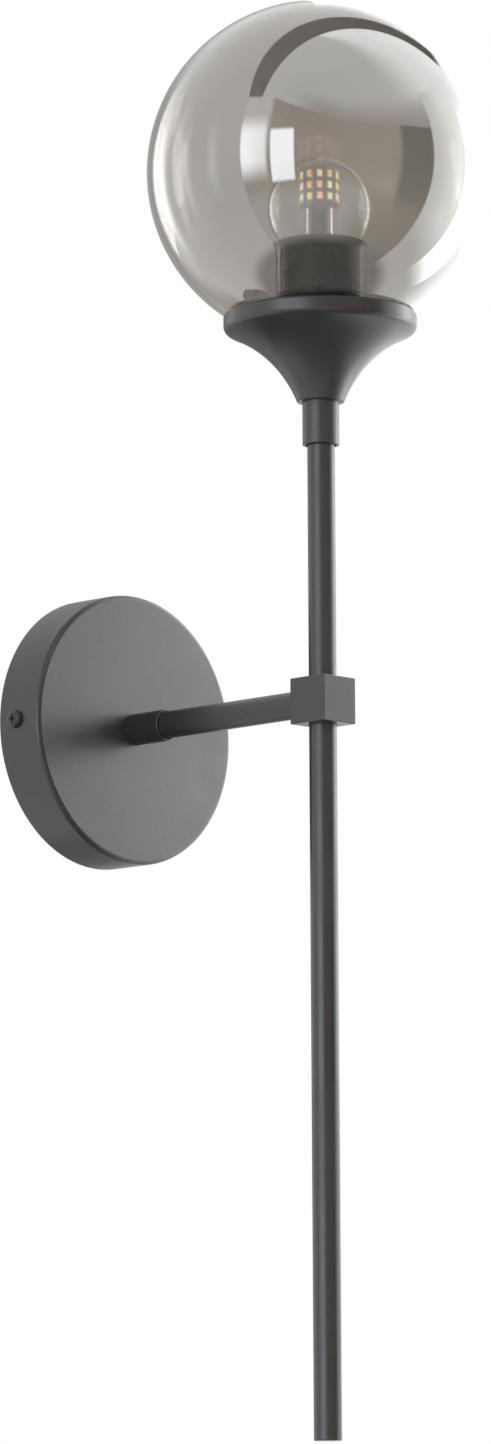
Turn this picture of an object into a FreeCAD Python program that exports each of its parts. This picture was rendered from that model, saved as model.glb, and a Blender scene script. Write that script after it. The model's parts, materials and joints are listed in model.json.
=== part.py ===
import FreeCAD, Part
import math
import os
import re
import Sketcher

# Globe wall sconce: a round wall plate carries a short arm, the arm carries a cube, and the cube
# holds a rod below and a rod above. The upper rod ends in a flared cup with the lampholder, the
# bulb and the glass globe. The origin is on the wall, at the centre of the plate. +Z is up, and
# the light stands out from the wall towards -Y.

doc = FreeCAD.newDocument("GlobeWallSconce")

# Driving sizes in millimetres.
SIZES = {
    # wall plate and its bracket
    "canopyRadius": 60, "canopyDepth": 24, "canopyWall": 1.2, "canopyEdge": 2,
    "bracketThick": 1.5, "bracketWidth": 16, "bracketPlay": 0.8, "earDepth": 16,
    "plateWidth": 44, "plateHeight": 64, "slotSpacing": 60, "slotWidth": 5, "slotLength": 14,
    "cableHole": 8, "screwDepth": 10, "screwRadius": 2, "screwPlay": 0.15,
    "headRadius": 4, "headHeight": 2.4, "headSide": 0.84, "headTop": 2.48, "headCrown": 2.48,
    "sideScrewLength": 8, "recessSpan": 4.4, "recessWidth": 1, "recessDepth": 1.2,
    "earthMargin": 10, "earthWasherRadius": 4.5, "earthWasherThick": 0.8,
    # terminal block
    "blockWidth": 28, "blockHeight": 16, "blockDepth": 13, "blockMargin": 11, "wayPitch": 9,
    "wayRadius": 1.6, "wayWall": 0.9, "wayInset": 1, "clampRadius": 1.4, "clampPitch": 8,
    "clampSink": 1, "clampSlot": 0.6, "clampSlotDepth": 0.6,
    "blockScrewRadius": 1.5, "blockScrewHead": 2, "blockScrewTop": 1.2, "blockScrewSink": 3,
    # threaded joints
    "nippleBore": 3.9, "nippleGrip": 12, "nippleBite": 4.8, "threadPlay": 0.05,
    "nutAcross": 14, "nutHeight": 3.5, "washerRadius": 8.5, "washerThick": 0.8, "nippleTail": 1.5,
    "nippleSink": 1,
    # arm, cube and rods
    "rodReach": 138, "tubeRadius": 6, "tubeWall": 1, "slipPlay": 0.05,
    "collarRadius": 7, "collarLength": 20, "collarEdge": 0.5, "collarMouth": 0.5,
    "collarMouthPlay": 0.4,
    "cubeSize": 20, "cubeEdge": 0.5, "socketPlay": 0.3, "socketDepth": 1,
    "lowerRodLength": 306, "upperRodLength": 119, "plugLength": 8, "plugCap": 1.6, "rodEdge": 0.5,
    "couplerRadius": 8, "couplerLength": 19, "couplerWeb": 2, "couplerMouth": 1, "couplerEdge": 0.4,
    "couplerMouthPlay": 0.8,
    # flared cup
    "footRadius": 10.4, "footEdge": 0.5, "flareRadius": 54.6, "flareRise": 30.8, "flareSide": 1.8,
    "bandRound": 3, "bandRise": 33.6, "cupRadius": 42, "cupHeight": 38.5, "rimRound": 1.2,
    "cupFloor": 3, "cupWell": 9, "wellRadius": 20.2, "wellRise": 19,
    "sealWidth": 2.4, "sealHeight": 2.2, "threadDrop": 3.7,
    # lampholder
    "holderRadius": 18.85, "holderWall": 1.6, "holderLift": 7, "bossRadius": 8, "bossHeight": 6.5,
    "capHeight": 14, "capWall": 1.6, "capShoulder": 3, "capSocket": 2,
    "sleeveHeight": 49.2, "lipRadius": 20.4, "lipRise": 4.5, "lipCurve": 7.2, "lipEdge": 0.6,
    "lipThinning": 0.3,
    "insertHeight": 9, "linerHeight": 26, "shellRadius": 13.6, "shellWall": 0.4,
    "terminalPitch": 9, "terminalRadius": 1.9, "terminalBore": 1.1, "terminalTail": 1,
    "tongueRadius": 4, "tongueThick": 0.6,
    # bulb
    "bulbRadius": 22.5, "bulbWall": 1, "bulbNeck": 12.6, "neckLength": 10, "bulbRise": 85.6,
    "capRadius": 13.25, "capThick": 0.4, "capTop": 29.5, "capFoot": 51.2, "capTaper": 1.6,
    "capLap": 1, "footHole": 6, "insulatorLap": 1.5, "pipRadius": 4.8, "pipHeight": 1.6,
    "contactGap": 0.3, "stemRadius": 5.9, "stemFlare": 7.6, "stemFlareDrop": 16.5,
    "stemTaper": 6, "stemCurve": 12.4, "stemFoot": 31.5, "stemFootEdge": 1.5,
    "ledRadius": 8.3, "ledHeight": 15.4, "ledRise": 1.4, "chipWidth": 2.7, "chipHeight": 3.4,
    "chipThick": 0.7, "chipPitch": 4.95, "chipColumns": 12, "chipRows": 3,
    # globe
    "globeRadius": 75, "globeWall": 2, "seatGap": 0.3, "mouthRadius": 28.5, "mouthWall": 2.5,
    "mouthPlay": 0.5,
    # wires, and the turns of their routes
    "wireRadius": 0.9, "wireOffset": 1.4, "wireTail": 4, "wireDrop": 6, "wireLead": 4,
    "wireSink": 2, "wireSpread": 3.5, "wireEnd": 3, "earthWireDrop": 8, "earthWireSwing": 16,
    "earthWireLevel": 2, "earthWireTurn": 6, "earthWireGap": 0.3, "earthWireLift": 1.2,
    "smallBend": 3, "middleBend": 4, "wideBend": 5,
}

# Lengths that follow from the driving sizes, written as expressions of them.
DERIVED = {
    "cupBase": "cubeSize / 2 + upperRodLength + couplerWeb",
    "seatRadius": "cupRadius - rimRound",
    "globeRise": "cupHeight + sqrt((globeRadius + seatGap) ^ 2 - seatRadius ^ 2)",
    "neckTop": "globeRise - sqrt(globeRadius ^ 2 - mouthRadius ^ 2)",
    "sealRise": "neckTop - seatGap - sealHeight",
    "threadRise": "sealRise - threadDrop",
    "mouthBottom": "threadRise + mouthPlay",
    "landRadius": "mouthRadius + mouthPlay",
    "boreRadius": "tubeRadius - tubeWall",
    "nippleRadius": "boreRadius - threadPlay",
    "threadHole": "boreRadius + threadPlay",
    "earFace": "canopyRadius - canopyWall - bracketPlay",
    "earthDrop": "plateHeight / 2 - earthMargin",
    "blockRise": "plateHeight / 2 - blockMargin",
    "insertBase": "holderLift + capHeight",
    "shellBase": "insertBase + insertHeight",
    "bulbTip": "shellBase + tongueThick + contactGap + tongueThick",
    "neckBlend": "(bulbRadius / sqrt(2) - bulbNeck) / (1 - 1 / sqrt(2))",
    "blendDrop": "bulbRadius / sqrt(2) + neckBlend / sqrt(2)",
    "wayOuter": "wayRadius + wayWall",
}


def fill_sheet():
    sheet = doc.addObject("Spreadsheet::Sheet", "Sizes")
    for row, (name, size) in enumerate(SIZES.items(), start=1):
        sheet.set(f"A{row}", name)
        sheet.set(f"B{row}", str(size))
        sheet.setAlias(f"B{row}", name)
    doc.recompute()
    return sheet


sheet = fill_sheet()
WORDS = re.compile(r"\b[a-z][A-Za-z]+\b")


def bound(expression):
    """The expression with each size named by its cell, and each derived length written out."""
    def cell(match):
        word = match.group(0)
        if word in DERIVED:
            return "(" + bound(DERIVED[word]) + ")"
        return "Sizes." + word if word in SIZES else word
    return WORDS.sub(cell, expression)


def value(expression):
    return float(sheet.evalExpression(bound(expression)))


def bind(thing, path, expression):
    thing.setExpression(path, bound(expression))


# Frames: on the wall a piece's own Z leaves the wall; on the riser it is the rods' axis, upwards.
def new_body(label, frame, along="0"):
    body = doc.addObject("PartDesign::Body", label)
    body.Label = label
    if frame == "wall":
        body.Placement = FreeCAD.Placement(
            FreeCAD.Vector(0, 0, 0), FreeCAD.Rotation(FreeCAD.Vector(1, 0, 0), 90))
        bind(body, "Placement.Base.y", f"-({along})")
    else:
        bind(body, "Placement.Base.y", "-rodReach")
        bind(body, "Placement.Base.z", along)
    return body


def sketch_on(body, role, name, offset="0"):
    plane = [part for part in body.Origin.OriginFeatures if part.Role == role][0]
    sketch = body.newObject("Sketcher::SketchObject", name)
    sketch.AttachmentSupport = [(plane, "")]
    sketch.MapMode = "FlatFace"
    if offset != "0":
        bind(sketch, "AttachmentOffset.Base.z", offset)
    return sketch


def pin(sketch, piece, vertex, across, up):
    for kind, axis, expression in (("DistanceX", -2, across), ("DistanceY", -1, up)):
        if expression == "0":
            sketch.addConstraint(Sketcher.Constraint("PointOnObject", piece, vertex, axis))
            continue
        rule = Sketcher.Constraint(kind, -1, 1, piece, vertex, value(expression))
        number = sketch.addConstraint(rule)
        bind(sketch, f"Constraints[{number}]", expression)


def arc_between(start, end, radius, turn):
    """The short arc from start to end; turn is 1 to the left and -1 to the right."""
    chord = end - start
    half = chord.Length / 2
    side = FreeCAD.Vector(-chord.y, chord.x, 0).normalize() * turn
    centre = (start + end) / 2 + side * math.sqrt(max(radius ** 2 - half ** 2, 0))
    first, last = (start, end) if turn > 0 else (end, start)
    angles = [math.atan2(spot.y - centre.y, spot.x - centre.x) for spot in (first, last)]
    circle = Part.Circle(centre, FreeCAD.Vector(0, 0, 1), radius)
    return Part.ArcOfCircle(circle, angles[0], angles[1])


def outline(sketch, corners, bends=None):
    """A closed outline; bends maps a corner's number to the radius and turn of the arc after it."""
    bends = bends or {}
    spots = [FreeCAD.Vector(value(across), value(up), 0) for across, up in corners]
    pieces, ends = [], []
    for number, start in enumerate(spots):
        end = spots[(number + 1) % len(spots)]
        radius, turn = bends.get(number, (None, 1))
        shape = Part.LineSegment(start, end)
        if radius:
            shape = arc_between(start, end, value(radius), turn)
        pieces.append(sketch.addGeometry(shape, False))
        ends.append((1, 2) if turn > 0 else (2, 1))
    for number, piece in enumerate(pieces):
        after = (number + 1) % len(pieces)
        sketch.addConstraint(Sketcher.Constraint(
            "Coincident", piece, ends[number][1], pieces[after], ends[after][0]))
    for number, (across, up) in enumerate(corners):
        pin(sketch, pieces[number], ends[number][0], across, up)
    for number, (radius, turn) in bends.items():
        rule = Sketcher.Constraint("Radius", pieces[number], value(radius))
        bind(sketch, f"Constraints[{sketch.addConstraint(rule)}]", radius)


def hole_in(sketch, radius, across="0", up="0"):
    centre = FreeCAD.Vector(value(across), value(up), 0)
    piece = sketch.addGeometry(Part.Circle(centre, FreeCAD.Vector(0, 0, 1), value(radius)), False)
    pin(sketch, piece, 3, across, up)
    rule = Sketcher.Constraint("Radius", piece, value(radius))
    bind(sketch, f"Constraints[{sketch.addConstraint(rule)}]", radius)


def rectangle(sketch, left, bottom, right, top):
    outline(sketch, [(left, bottom), (right, bottom), (right, top), (left, top)])


def hexagon(sketch, across):
    side, peak = f"({across}) / 2", f"({across}) / sqrt(3)"
    outline(sketch, [
        (peak, "0"), (f"{peak} / 2", side), (f"-({peak}) / 2", side),
        (f"-({peak})", "0"), (f"-({peak}) / 2", f"-({side})"), (f"{peak} / 2", f"-({side})")])


def pad(body, sketch, length, symmetric=False):
    solid = body.newObject("PartDesign::Pad", sketch.Name + "_pad")
    solid.Profile = sketch
    bind(solid, "Length", length)
    solid.Midplane = symmetric
    body.Tip = solid
    return solid


def cut(body, sketch, depth=None, symmetric=False, upward=False):
    """A pocket of the given depth, or through everything on both sides."""
    hollow = body.newObject("PartDesign::Pocket", sketch.Name + "_cut")
    hollow.Profile = sketch
    if depth is None:
        hollow.Type = "ThroughAll"
        hollow.Midplane = True
    else:
        bind(hollow, "Length", depth)
        hollow.Midplane = symmetric
        hollow.Reversed = upward
    body.Tip = hollow
    return hollow


def turned(label, frame, along, corners, bends=None):
    """A piece turned about its own Z from the half section given by corners."""
    body = new_body(label, frame, along)
    sketch = sketch_on(body, "XZ_Plane", label + "_section")
    outline(sketch, corners, bends)
    solid = body.newObject("PartDesign::Revolution", label + "_turned")
    solid.Profile = sketch
    solid.ReferenceAxis = (sketch, ["V_Axis"])
    solid.Angle = 360
    body.Tip = solid
    return body


def ring(label, frame, along, inner, outer, height):
    return turned(label, frame, along, [
        (inner, "0"), (outer, "0"), (outer, height), (inner, height)])


def group(label, shapes):
    """Identical small pieces that share one node, each its own solid."""
    node = doc.addObject("Part::Compound", label)
    node.Label = label
    node.Links = shapes
    return node


# ---- wall bracket and what is fixed to it ----

def build_bracket():
    body = new_body("wall_bracket", "wall")
    strap = sketch_on(body, "XZ_Plane", "strap")
    outline(strap, [
        ("-earFace", "0"), ("earFace", "0"), ("earFace", "earDepth"),
        ("earFace - bracketThick", "earDepth"), ("earFace - bracketThick", "bracketThick"),
        ("bracketThick - earFace", "bracketThick"), ("bracketThick - earFace", "earDepth"),
        ("-earFace", "earDepth")])
    pad(body, strap, "bracketWidth", symmetric=True)
    middle = sketch_on(body, "XY_Plane", "middle_plate")
    rectangle(middle, "-plateWidth / 2", "-plateHeight / 2", "plateWidth / 2", "plateHeight / 2")
    pad(body, middle, "bracketThick")
    slots = sketch_on(body, "XY_Plane", "wall_slots")
    for side in ("-", ""):
        middle_of = f"{side}slotSpacing / 2"
        low = f"{middle_of} - slotLength / 2 + slotWidth / 2"
        high = f"{middle_of} + slotLength / 2 - slotWidth / 2"
        outline(slots, [
            (low, "-slotWidth / 2"), (high, "-slotWidth / 2"),
            (high, "slotWidth / 2"), (low, "slotWidth / 2")],
            {1: ("slotWidth / 2 + 0.000001", 1), 3: ("slotWidth / 2 + 0.000001", 1)})
    cut(body, slots)
    holes = sketch_on(body, "XY_Plane", "cable_and_screw_holes")
    hole_in(holes, "cableHole")
    hole_in(holes, "screwRadius + threadPlay", up="-earthDrop")
    hole_in(holes, "blockScrewRadius + threadPlay", "wayPitch / 2", "blockRise")
    cut(body, holes)
    ears = sketch_on(body, "YZ_Plane", "ear_holes")
    hole_in(ears, "screwRadius + threadPlay", "0", "screwDepth")
    cut(body, ears)


def pan_screw(label, along, length):
    """A pan head screw that points down its own -Z, with a cross recess in the head."""
    body = turned(label, "wall", along, [
        ("0", f"-({length})"), ("screwRadius", f"-({length})"), ("screwRadius", "0"),
        ("headRadius", "0"), ("headRadius", "headSide"), ("headTop", "headHeight"),
        ("0", "headHeight")],
        {4: ("headCrown", 1)})
    for number, (wide, tall) in enumerate((("recessSpan", "recessWidth"),
                                           ("recessWidth", "recessSpan"))):
        slot = sketch_on(body, "XY_Plane", f"{label}_recess_{number}", "headHeight")
        rectangle(slot, f"-{wide} / 2", f"-{tall} / 2", f"{wide} / 2", f"{tall} / 2")
        cut(body, slot, "recessDepth")
    return body


def build_side_screws():
    """One screw each side clamps the plate to the bracket's ears."""
    right = pan_screw("side_screw", "screwDepth", "sideScrewLength")
    right.Placement = FreeCAD.Placement(
        FreeCAD.Vector(0, 0, 0), FreeCAD.Rotation(FreeCAD.Vector(0, 1, 0), 90))
    bind(right, "Placement.Base.x", "canopyRadius")
    bind(right, "Placement.Base.y", "-screwDepth")
    left = doc.addObject("Part::Mirroring", "side_screw_left")
    left.Source = right
    left.Normal = FreeCAD.Vector(1, 0, 0)
    group("canopy_side_screws", [right, left])


def build_earth_point():
    washer = new_body("earth_washer", "wall", "bracketThick")
    washer.Placement.Base = FreeCAD.Vector(0, 0, 0)
    bind(washer, "Placement.Base.z", "-earthDrop")
    face = sketch_on(washer, "XY_Plane", "earth_washer_face")
    hole_in(face, "earthWasherRadius")
    hole_in(face, "screwRadius + threadPlay")
    pad(washer, face, "earthWasherThick")
    screw = pan_screw("earth_screw", "bracketThick + earthWasherThick",
                      "bracketThick + earthWasherThick")
    bind(screw, "Placement.Base.z", "-earthDrop")


def way_positions():
    return ("-wayPitch", "0", "wayPitch")


def build_terminal_block():
    """A three-way block: each way is a brass tube with two clamping screws."""
    body = new_body("terminal_block", "wall", "bracketThick")
    foot = sketch_on(body, "XY_Plane", "block_foot")
    rectangle(foot, "-blockWidth / 2", "blockRise - blockHeight / 2",
              "blockWidth / 2", "blockRise + blockHeight / 2")
    hole_in(foot, "blockScrewRadius + screwPlay", "wayPitch / 2", "blockRise")
    pad(body, foot, "blockDepth")
    well = sketch_on(body, "XY_Plane", "fixing_well", "blockDepth")
    hole_in(well, "blockScrewHead + screwPlay", "wayPitch / 2", "blockRise")
    cut(body, well, "blockScrewSink")
    ways = sketch_on(body, "XZ_Plane", "block_ways")
    for across in way_positions():
        hole_in(ways, "wayOuter + threadPlay", across, "blockDepth / 2")
    cut(body, ways)
    tops = sketch_on(body, "XY_Plane", "clamp_holes", "blockDepth")
    for across in way_positions():
        for side in ("-", "+"):
            hole_in(tops, "clampRadius + screwPlay", across, f"blockRise {side} clampPitch / 2")
    cut(body, tops, "blockDepth / 2")


def build_terminals():
    tubes, screws = [], []
    for number, across in enumerate(way_positions(), start=1):
        tube = new_body(f"terminal_tube_{number}", "wall", "bracketThick")
        face = sketch_on(tube, "XZ_Plane", f"tube_face_{number}", "-blockRise")
        hole_in(face, "wayOuter", across, "blockDepth / 2")
        hole_in(face, "wayRadius", across, "blockDepth / 2")
        pad(tube, face, "blockHeight - 2 * wayInset", symmetric=True)
        taps = sketch_on(tube, "XY_Plane", f"tube_taps_{number}", "blockDepth")
        for side in ("-", "+"):
            hole_in(taps, "clampRadius + threadPlay", across, f"blockRise {side} clampPitch / 2")
        cut(tube, taps, "blockDepth / 2")
        tubes.append(tube)
        for place, side in enumerate(("-", "+")):
            screw = new_body(f"clamp_screw_{number}_{place}", "wall", "bracketThick")
            end = sketch_on(screw, "XY_Plane", f"clamp_end_{number}_{place}",
                            "blockDepth - clampSink")
            hole_in(end, "clampRadius", across, f"blockRise {side} clampPitch / 2")
            pad(screw, end, "blockDepth / 2 - clampSink - wireRadius").Reversed = True
            slot = sketch_on(screw, "XY_Plane", f"clamp_slot_{number}_{place}",
                             "blockDepth - clampSink")
            middle = f"blockRise {side} clampPitch / 2"
            rectangle(slot, f"{across} - clampRadius", f"{middle} - clampSlot / 2",
                      f"{across} + clampRadius", f"{middle} + clampSlot / 2")
            cut(screw, slot, "clampSlotDepth")
            screws.append(screw)
    group("terminal_tubes", tubes)
    group("terminal_clamp_screws", screws)


def build_block_screw():
    """Holds the terminal block on the bracket."""
    body = turned("terminal_block_screw", "wall", "bracketThick", [
        ("0", "-bracketThick"), ("blockScrewRadius", "-bracketThick"),
        ("blockScrewRadius", "blockDepth - blockScrewSink"),
        ("blockScrewHead", "blockDepth - blockScrewSink"),
        ("blockScrewHead", "blockDepth - blockScrewSink + blockScrewTop"),
        ("0", "blockDepth - blockScrewSink + blockScrewTop")])
    bind(body, "Placement.Base.x", "wayPitch / 2")
    bind(body, "Placement.Base.z", "blockRise")


# ---- wall plate, arm and collar ----

def build_canopy():
    body = turned("canopy_shell", "wall", "0", [
        ("threadHole", "canopyDepth - canopyWall"),
        ("canopyRadius - canopyEdge", "canopyDepth - canopyWall"),
        ("canopyRadius - canopyWall", "canopyDepth - canopyEdge"),
        ("canopyRadius - canopyWall", "0"), ("canopyRadius", "0"),
        ("canopyRadius", "canopyDepth - canopyEdge"),
        ("canopyRadius - canopyEdge", "canopyDepth"), ("threadHole", "canopyDepth")],
        {1: ("canopyEdge - canopyWall", -1), 5: ("canopyEdge", 1)})
    sides = sketch_on(body, "YZ_Plane", "side_holes")
    hole_in(sides, "screwRadius + screwPlay", "0", "screwDepth")
    cut(body, sides)


def hex_nut(label, frame, along):
    body = new_body(label, frame, along)
    face = sketch_on(body, "XY_Plane", label + "_face")
    hexagon(face, "nutAcross")
    hole_in(face, "threadHole")
    pad(body, face, "nutHeight")
    return body


def build_arm():
    inside = "canopyDepth - canopyWall"
    ring("canopy_washer", "wall", f"{inside} - washerThick", "threadHole", "washerRadius",
         "washerThick")
    hex_nut("canopy_nut", "wall", f"{inside} - washerThick - nutHeight")
    ring("canopy_nipple", "wall", f"{inside} - washerThick - nutHeight - nippleTail",
         "nippleBore", "nippleRadius",
         "nippleTail + nutHeight + washerThick + canopyWall + nippleGrip")
    turned("arm_tube", "wall", "canopyDepth", [
        ("boreRadius", "0"), ("tubeRadius", "0"),
        ("tubeRadius", "rodReach - cubeSize / 2 - canopyDepth"),
        ("boreRadius", "rodReach - cubeSize / 2 - canopyDepth")])
    turned("arm_collar", "wall", "canopyDepth", [
        ("tubeRadius + slipPlay", "0"), ("collarRadius", "0"),
        ("collarRadius", "collarLength - collarEdge"),
        ("collarRadius - collarEdge", "collarLength"),
        ("tubeRadius + collarMouthPlay", "collarLength"),
        ("tubeRadius + slipPlay", "collarLength - collarMouth")],
        {2: ("collarEdge", 1)})


# ---- cube and rods ----

def build_cube():
    body = new_body("cube_block", "riser")
    foot = sketch_on(body, "XY_Plane", "cube_foot")
    rectangle(foot, "-cubeSize / 2", "-cubeSize / 2", "cubeSize / 2", "cubeSize / 2")
    block = pad(body, foot, "cubeSize", symmetric=True)
    doc.recompute()
    edges = body.newObject("PartDesign::Fillet", "cube_edges")
    edges.Base = (block, [f"Edge{number}" for number in range(1, 13)])
    bind(edges, "Radius", "cubeEdge")
    body.Tip = edges
    threads = (("XY_Plane", "upper", "cubeSize / 2", False),
               ("XY_Plane", "lower", "-cubeSize / 2", True),
               ("XZ_Plane", "arm", "-cubeSize / 2", True))
    for role, name, offset, upward in threads:
        bore = sketch_on(body, role, f"{name}_bore", offset)
        hole_in(bore, "threadHole")
        cut(body, bore, "nippleBite + 2 * threadPlay", upward=upward)
        way = sketch_on(body, role, f"{name}_wireway", offset)
        hole_in(way, "nippleBore")
        cut(body, way, "cubeSize / 2 + nippleBore", upward=upward)
    socket = sketch_on(body, "XY_Plane", "lower_rod_socket", "-cubeSize / 2")
    hole_in(socket, "tubeRadius + socketPlay")
    cut(body, socket, "socketDepth", upward=True)


def build_rods():
    bite = "cubeSize / 2 - nippleBite"
    ring("cube_nipple_upper", "riser", bite, "nippleBore", "nippleRadius",
         "nippleBite + nippleGrip")
    ring("cube_nipple_lower", "riser", "-cubeSize / 2 - nippleGrip", "nippleBore", "nippleRadius",
         "nippleBite + nippleGrip")
    ring("cube_nipple_arm", "wall", "rodReach - cubeSize / 2 - nippleGrip", "nippleBore",
         "nippleRadius", "nippleBite + nippleGrip")
    ring("upper_rod", "riser", "cubeSize / 2", "boreRadius", "tubeRadius", "upperRodLength")
    ring("lower_rod", "riser", "-cubeSize / 2 - lowerRodLength + plugCap", "boreRadius",
         "tubeRadius", "lowerRodLength - plugCap + socketDepth")
    turned("rod_end_plug", "riser", "-cubeSize / 2 - lowerRodLength", [
        ("0", "0"), ("tubeRadius - rodEdge", "0"), ("tubeRadius", "rodEdge"),
        ("tubeRadius", "plugCap"), ("nippleRadius", "plugCap"), ("nippleRadius", "plugLength"),
        ("0", "plugLength")],
        {1: ("rodEdge", 1)})


# ---- flared cup ----

def build_cup_joint():
    """The coupler slips over the rod's end; its web is clamped between the rod and the cup."""
    turned("cup_coupler", "riser", "cupBase - couplerLength", [
        ("tubeRadius + couplerMouthPlay", "0"), ("couplerRadius - couplerEdge", "0"),
        ("couplerRadius", "couplerEdge"), ("couplerRadius", "couplerLength"),
        ("threadHole", "couplerLength"), ("threadHole", "couplerLength - couplerWeb"),
        ("tubeRadius + slipPlay", "couplerLength - couplerWeb"),
        ("tubeRadius + slipPlay", "couplerMouth"),
        ("tubeRadius + couplerMouthPlay", "couplerMouth")],
        {1: ("couplerEdge", 1)})
    ring("cup_nipple", "riser", "cupBase - couplerWeb - nippleGrip", "nippleBore", "nippleRadius",
         "couplerWeb + nippleGrip + holderLift + bossHeight - nippleSink")
    hex_nut("cup_nut", "riser", "cupBase + cupFloor")


def build_cup():
    seat_drop = "sqrt((globeRadius + seatGap) ^ 2 - (landRadius + sealWidth) ^ 2)"
    turned("trumpet_cup", "riser", "cupBase", [
        ("threadHole", "0"), ("footRadius - footEdge", "0"), ("footRadius", "footEdge"),
        ("cupRadius - flareSide", "flareRise"), ("cupRadius", "bandRise"),
        ("cupRadius", "cupHeight - rimRound"), ("seatRadius", "cupHeight"),
        ("landRadius + sealWidth", f"globeRise - {seat_drop}"),
        ("landRadius + sealWidth", "sealRise"), ("landRadius", "sealRise"),
        ("landRadius", "threadRise"), ("wellRadius", "threadRise"), ("wellRadius", "wellRise"),
        ("cupWell", "cupFloor"), ("threadHole", "cupFloor")],
        {1: ("footEdge", 1), 2: ("flareRadius", -1), 3: ("bandRound", 1), 5: ("rimRound", 1),
         6: ("globeRadius + seatGap", -1)})


# ---- lampholder ----

def build_lampholder():
    turned("lampholder_cap", "riser", "cupBase + holderLift", [
        ("threadHole", "0"), ("bossRadius", "0"),
        ("holderRadius - holderWall", "capHeight - capShoulder"),
        ("holderRadius - holderWall", "capHeight + capSocket"),
        ("holderRadius - holderWall - capWall", "capHeight + capSocket"),
        ("holderRadius - holderWall - capWall", "capHeight - capShoulder + capWall / 2"),
        ("bossRadius", "bossHeight"), ("threadHole", "bossHeight")])
    turned("lampholder_sleeve", "riser", "cupBase + insertBase", [
        ("holderRadius - holderWall + threadPlay", "0"), ("holderRadius", "0"),
        ("holderRadius", "sleeveHeight - lipRise"), ("lipRadius", "sleeveHeight - lipEdge"),
        ("lipRadius - lipEdge", "sleeveHeight"),
        ("lipRadius - holderWall + lipThinning", "sleeveHeight"),
        ("holderRadius - holderWall + threadPlay", "sleeveHeight - lipRise")],
        {2: ("lipCurve", -1), 3: ("lipEdge", 1), 5: ("lipCurve + holderWall - lipThinning", 1)})
    insert = turned("lampholder_insert", "riser", "cupBase + insertBase", [
        ("0", "0"), ("holderRadius - holderWall - capWall - threadPlay", "0"),
        ("holderRadius - holderWall - capWall - threadPlay", "capSocket"),
        ("holderRadius - holderWall - threadPlay", "capSocket"),
        ("holderRadius - holderWall - threadPlay", "insertHeight + linerHeight"),
        ("shellRadius + shellWall + threadPlay", "insertHeight + linerHeight"),
        ("shellRadius + shellWall + threadPlay", "insertHeight"), ("0", "insertHeight")])
    holes = sketch_on(insert, "XY_Plane", "terminal_holes")
    for side in ("-", ""):
        hole_in(holes, "terminalRadius + threadPlay", f"{side}terminalPitch / 2")
    cut(insert, holes)
    contacts = []
    for number, side in enumerate(("-", "")):
        tube = new_body(f"terminal_{number}", "riser", "cupBase + insertBase - terminalTail")
        face = sketch_on(tube, "XY_Plane", f"terminal_face_{number}")
        hole_in(face, "terminalRadius", f"{side}terminalPitch / 2")
        hole_in(face, "terminalBore", f"{side}terminalPitch / 2")
        pad(tube, face, "insertHeight + terminalTail")
        contacts.append(tube)
    group("lampholder_terminals", contacts)
    ring("screw_shell", "riser", "cupBase + shellBase", "shellRadius", "shellRadius + shellWall",
         "linerHeight")
    turned("centre_contact", "riser", "cupBase + shellBase", [
        ("0", "0"), ("tongueRadius", "0"), ("tongueRadius", "tongueThick"),
        ("tongueRadius / 2", "2 * tongueThick"), ("0", "2 * tongueThick")])


# ---- bulb ----

def build_bulb():
    blend_centre = "bulbNeck + neckBlend"
    foot = "-blendDrop - neckLength"
    neck_inner = "bulbNeck - bulbWall"
    turned("bulb_glass", "riser", "cupBase + bulbRise", [
        (neck_inner, foot), ("bulbNeck", foot), ("bulbNeck", "-blendDrop"),
        ("bulbRadius / sqrt(2)", "-bulbRadius / sqrt(2)"), ("0", "bulbRadius"),
        ("0", "bulbRadius - bulbWall"),
        ("(bulbRadius - bulbWall) / sqrt(2)", "-(bulbRadius - bulbWall) / sqrt(2)"),
        (neck_inner, "-blendDrop")],
        {2: ("neckBlend", -1), 3: ("bulbRadius", 1), 5: ("bulbRadius - bulbWall", -1),
         6: ("neckBlend + bulbWall", 1)})
    turned("bulb_stem", "riser", "cupBase + bulbRise", [
        ("0", "-stemFoot"), (f"{neck_inner} - threadPlay", "-stemFoot"),
        (f"{neck_inner} - threadPlay", "stemFootEdge - stemFoot"), ("stemFlare", "-stemFlareDrop"),
        ("stemRadius", "stemTaper - stemFlareDrop"), ("stemRadius", "ledRise"), ("0", "ledRise")],
        {3: ("stemCurve", -1)})
    turned("led_column", "riser", "cupBase + bulbRise + ledRise", [
        ("0", "0"), ("ledRadius", "0"), ("ledRadius", "ledHeight"), ("0", "ledHeight")])
    build_chips("cupBase + bulbRise + ledRise + ledHeight / 2")
    turned("bulb_cap", "riser", "cupBase + bulbRise", [
        ("footHole", "-capFoot"), ("capRadius - capTaper", "-capFoot"),
        ("capRadius", "capTaper - capFoot"), ("capRadius", "-capTop"),
        ("bulbNeck + threadPlay", "-capTop"), ("capRadius - capThick", "-capTop - capLap"),
        ("capRadius - capThick", "capTaper - capFoot"),
        ("capRadius - capTaper", "capThick - capFoot"), ("footHole", "capThick - capFoot")])
    turned("bulb_insulator", "riser", "cupBase + bulbTip + pipHeight", [
        ("0", "0"), ("pipRadius", "0"),
        ("footHole + insulatorLap", "bulbRise - capFoot - bulbTip - pipHeight"),
        ("0", "bulbRise - capFoot - bulbTip - pipHeight")])
    turned("bulb_contact", "riser", "cupBase + bulbTip", [
        ("0", "0"), ("pipRadius / 2", "0"), ("pipRadius", "pipHeight"), ("0", "pipHeight")],
        {1: ("pipRadius", 1)})


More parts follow.
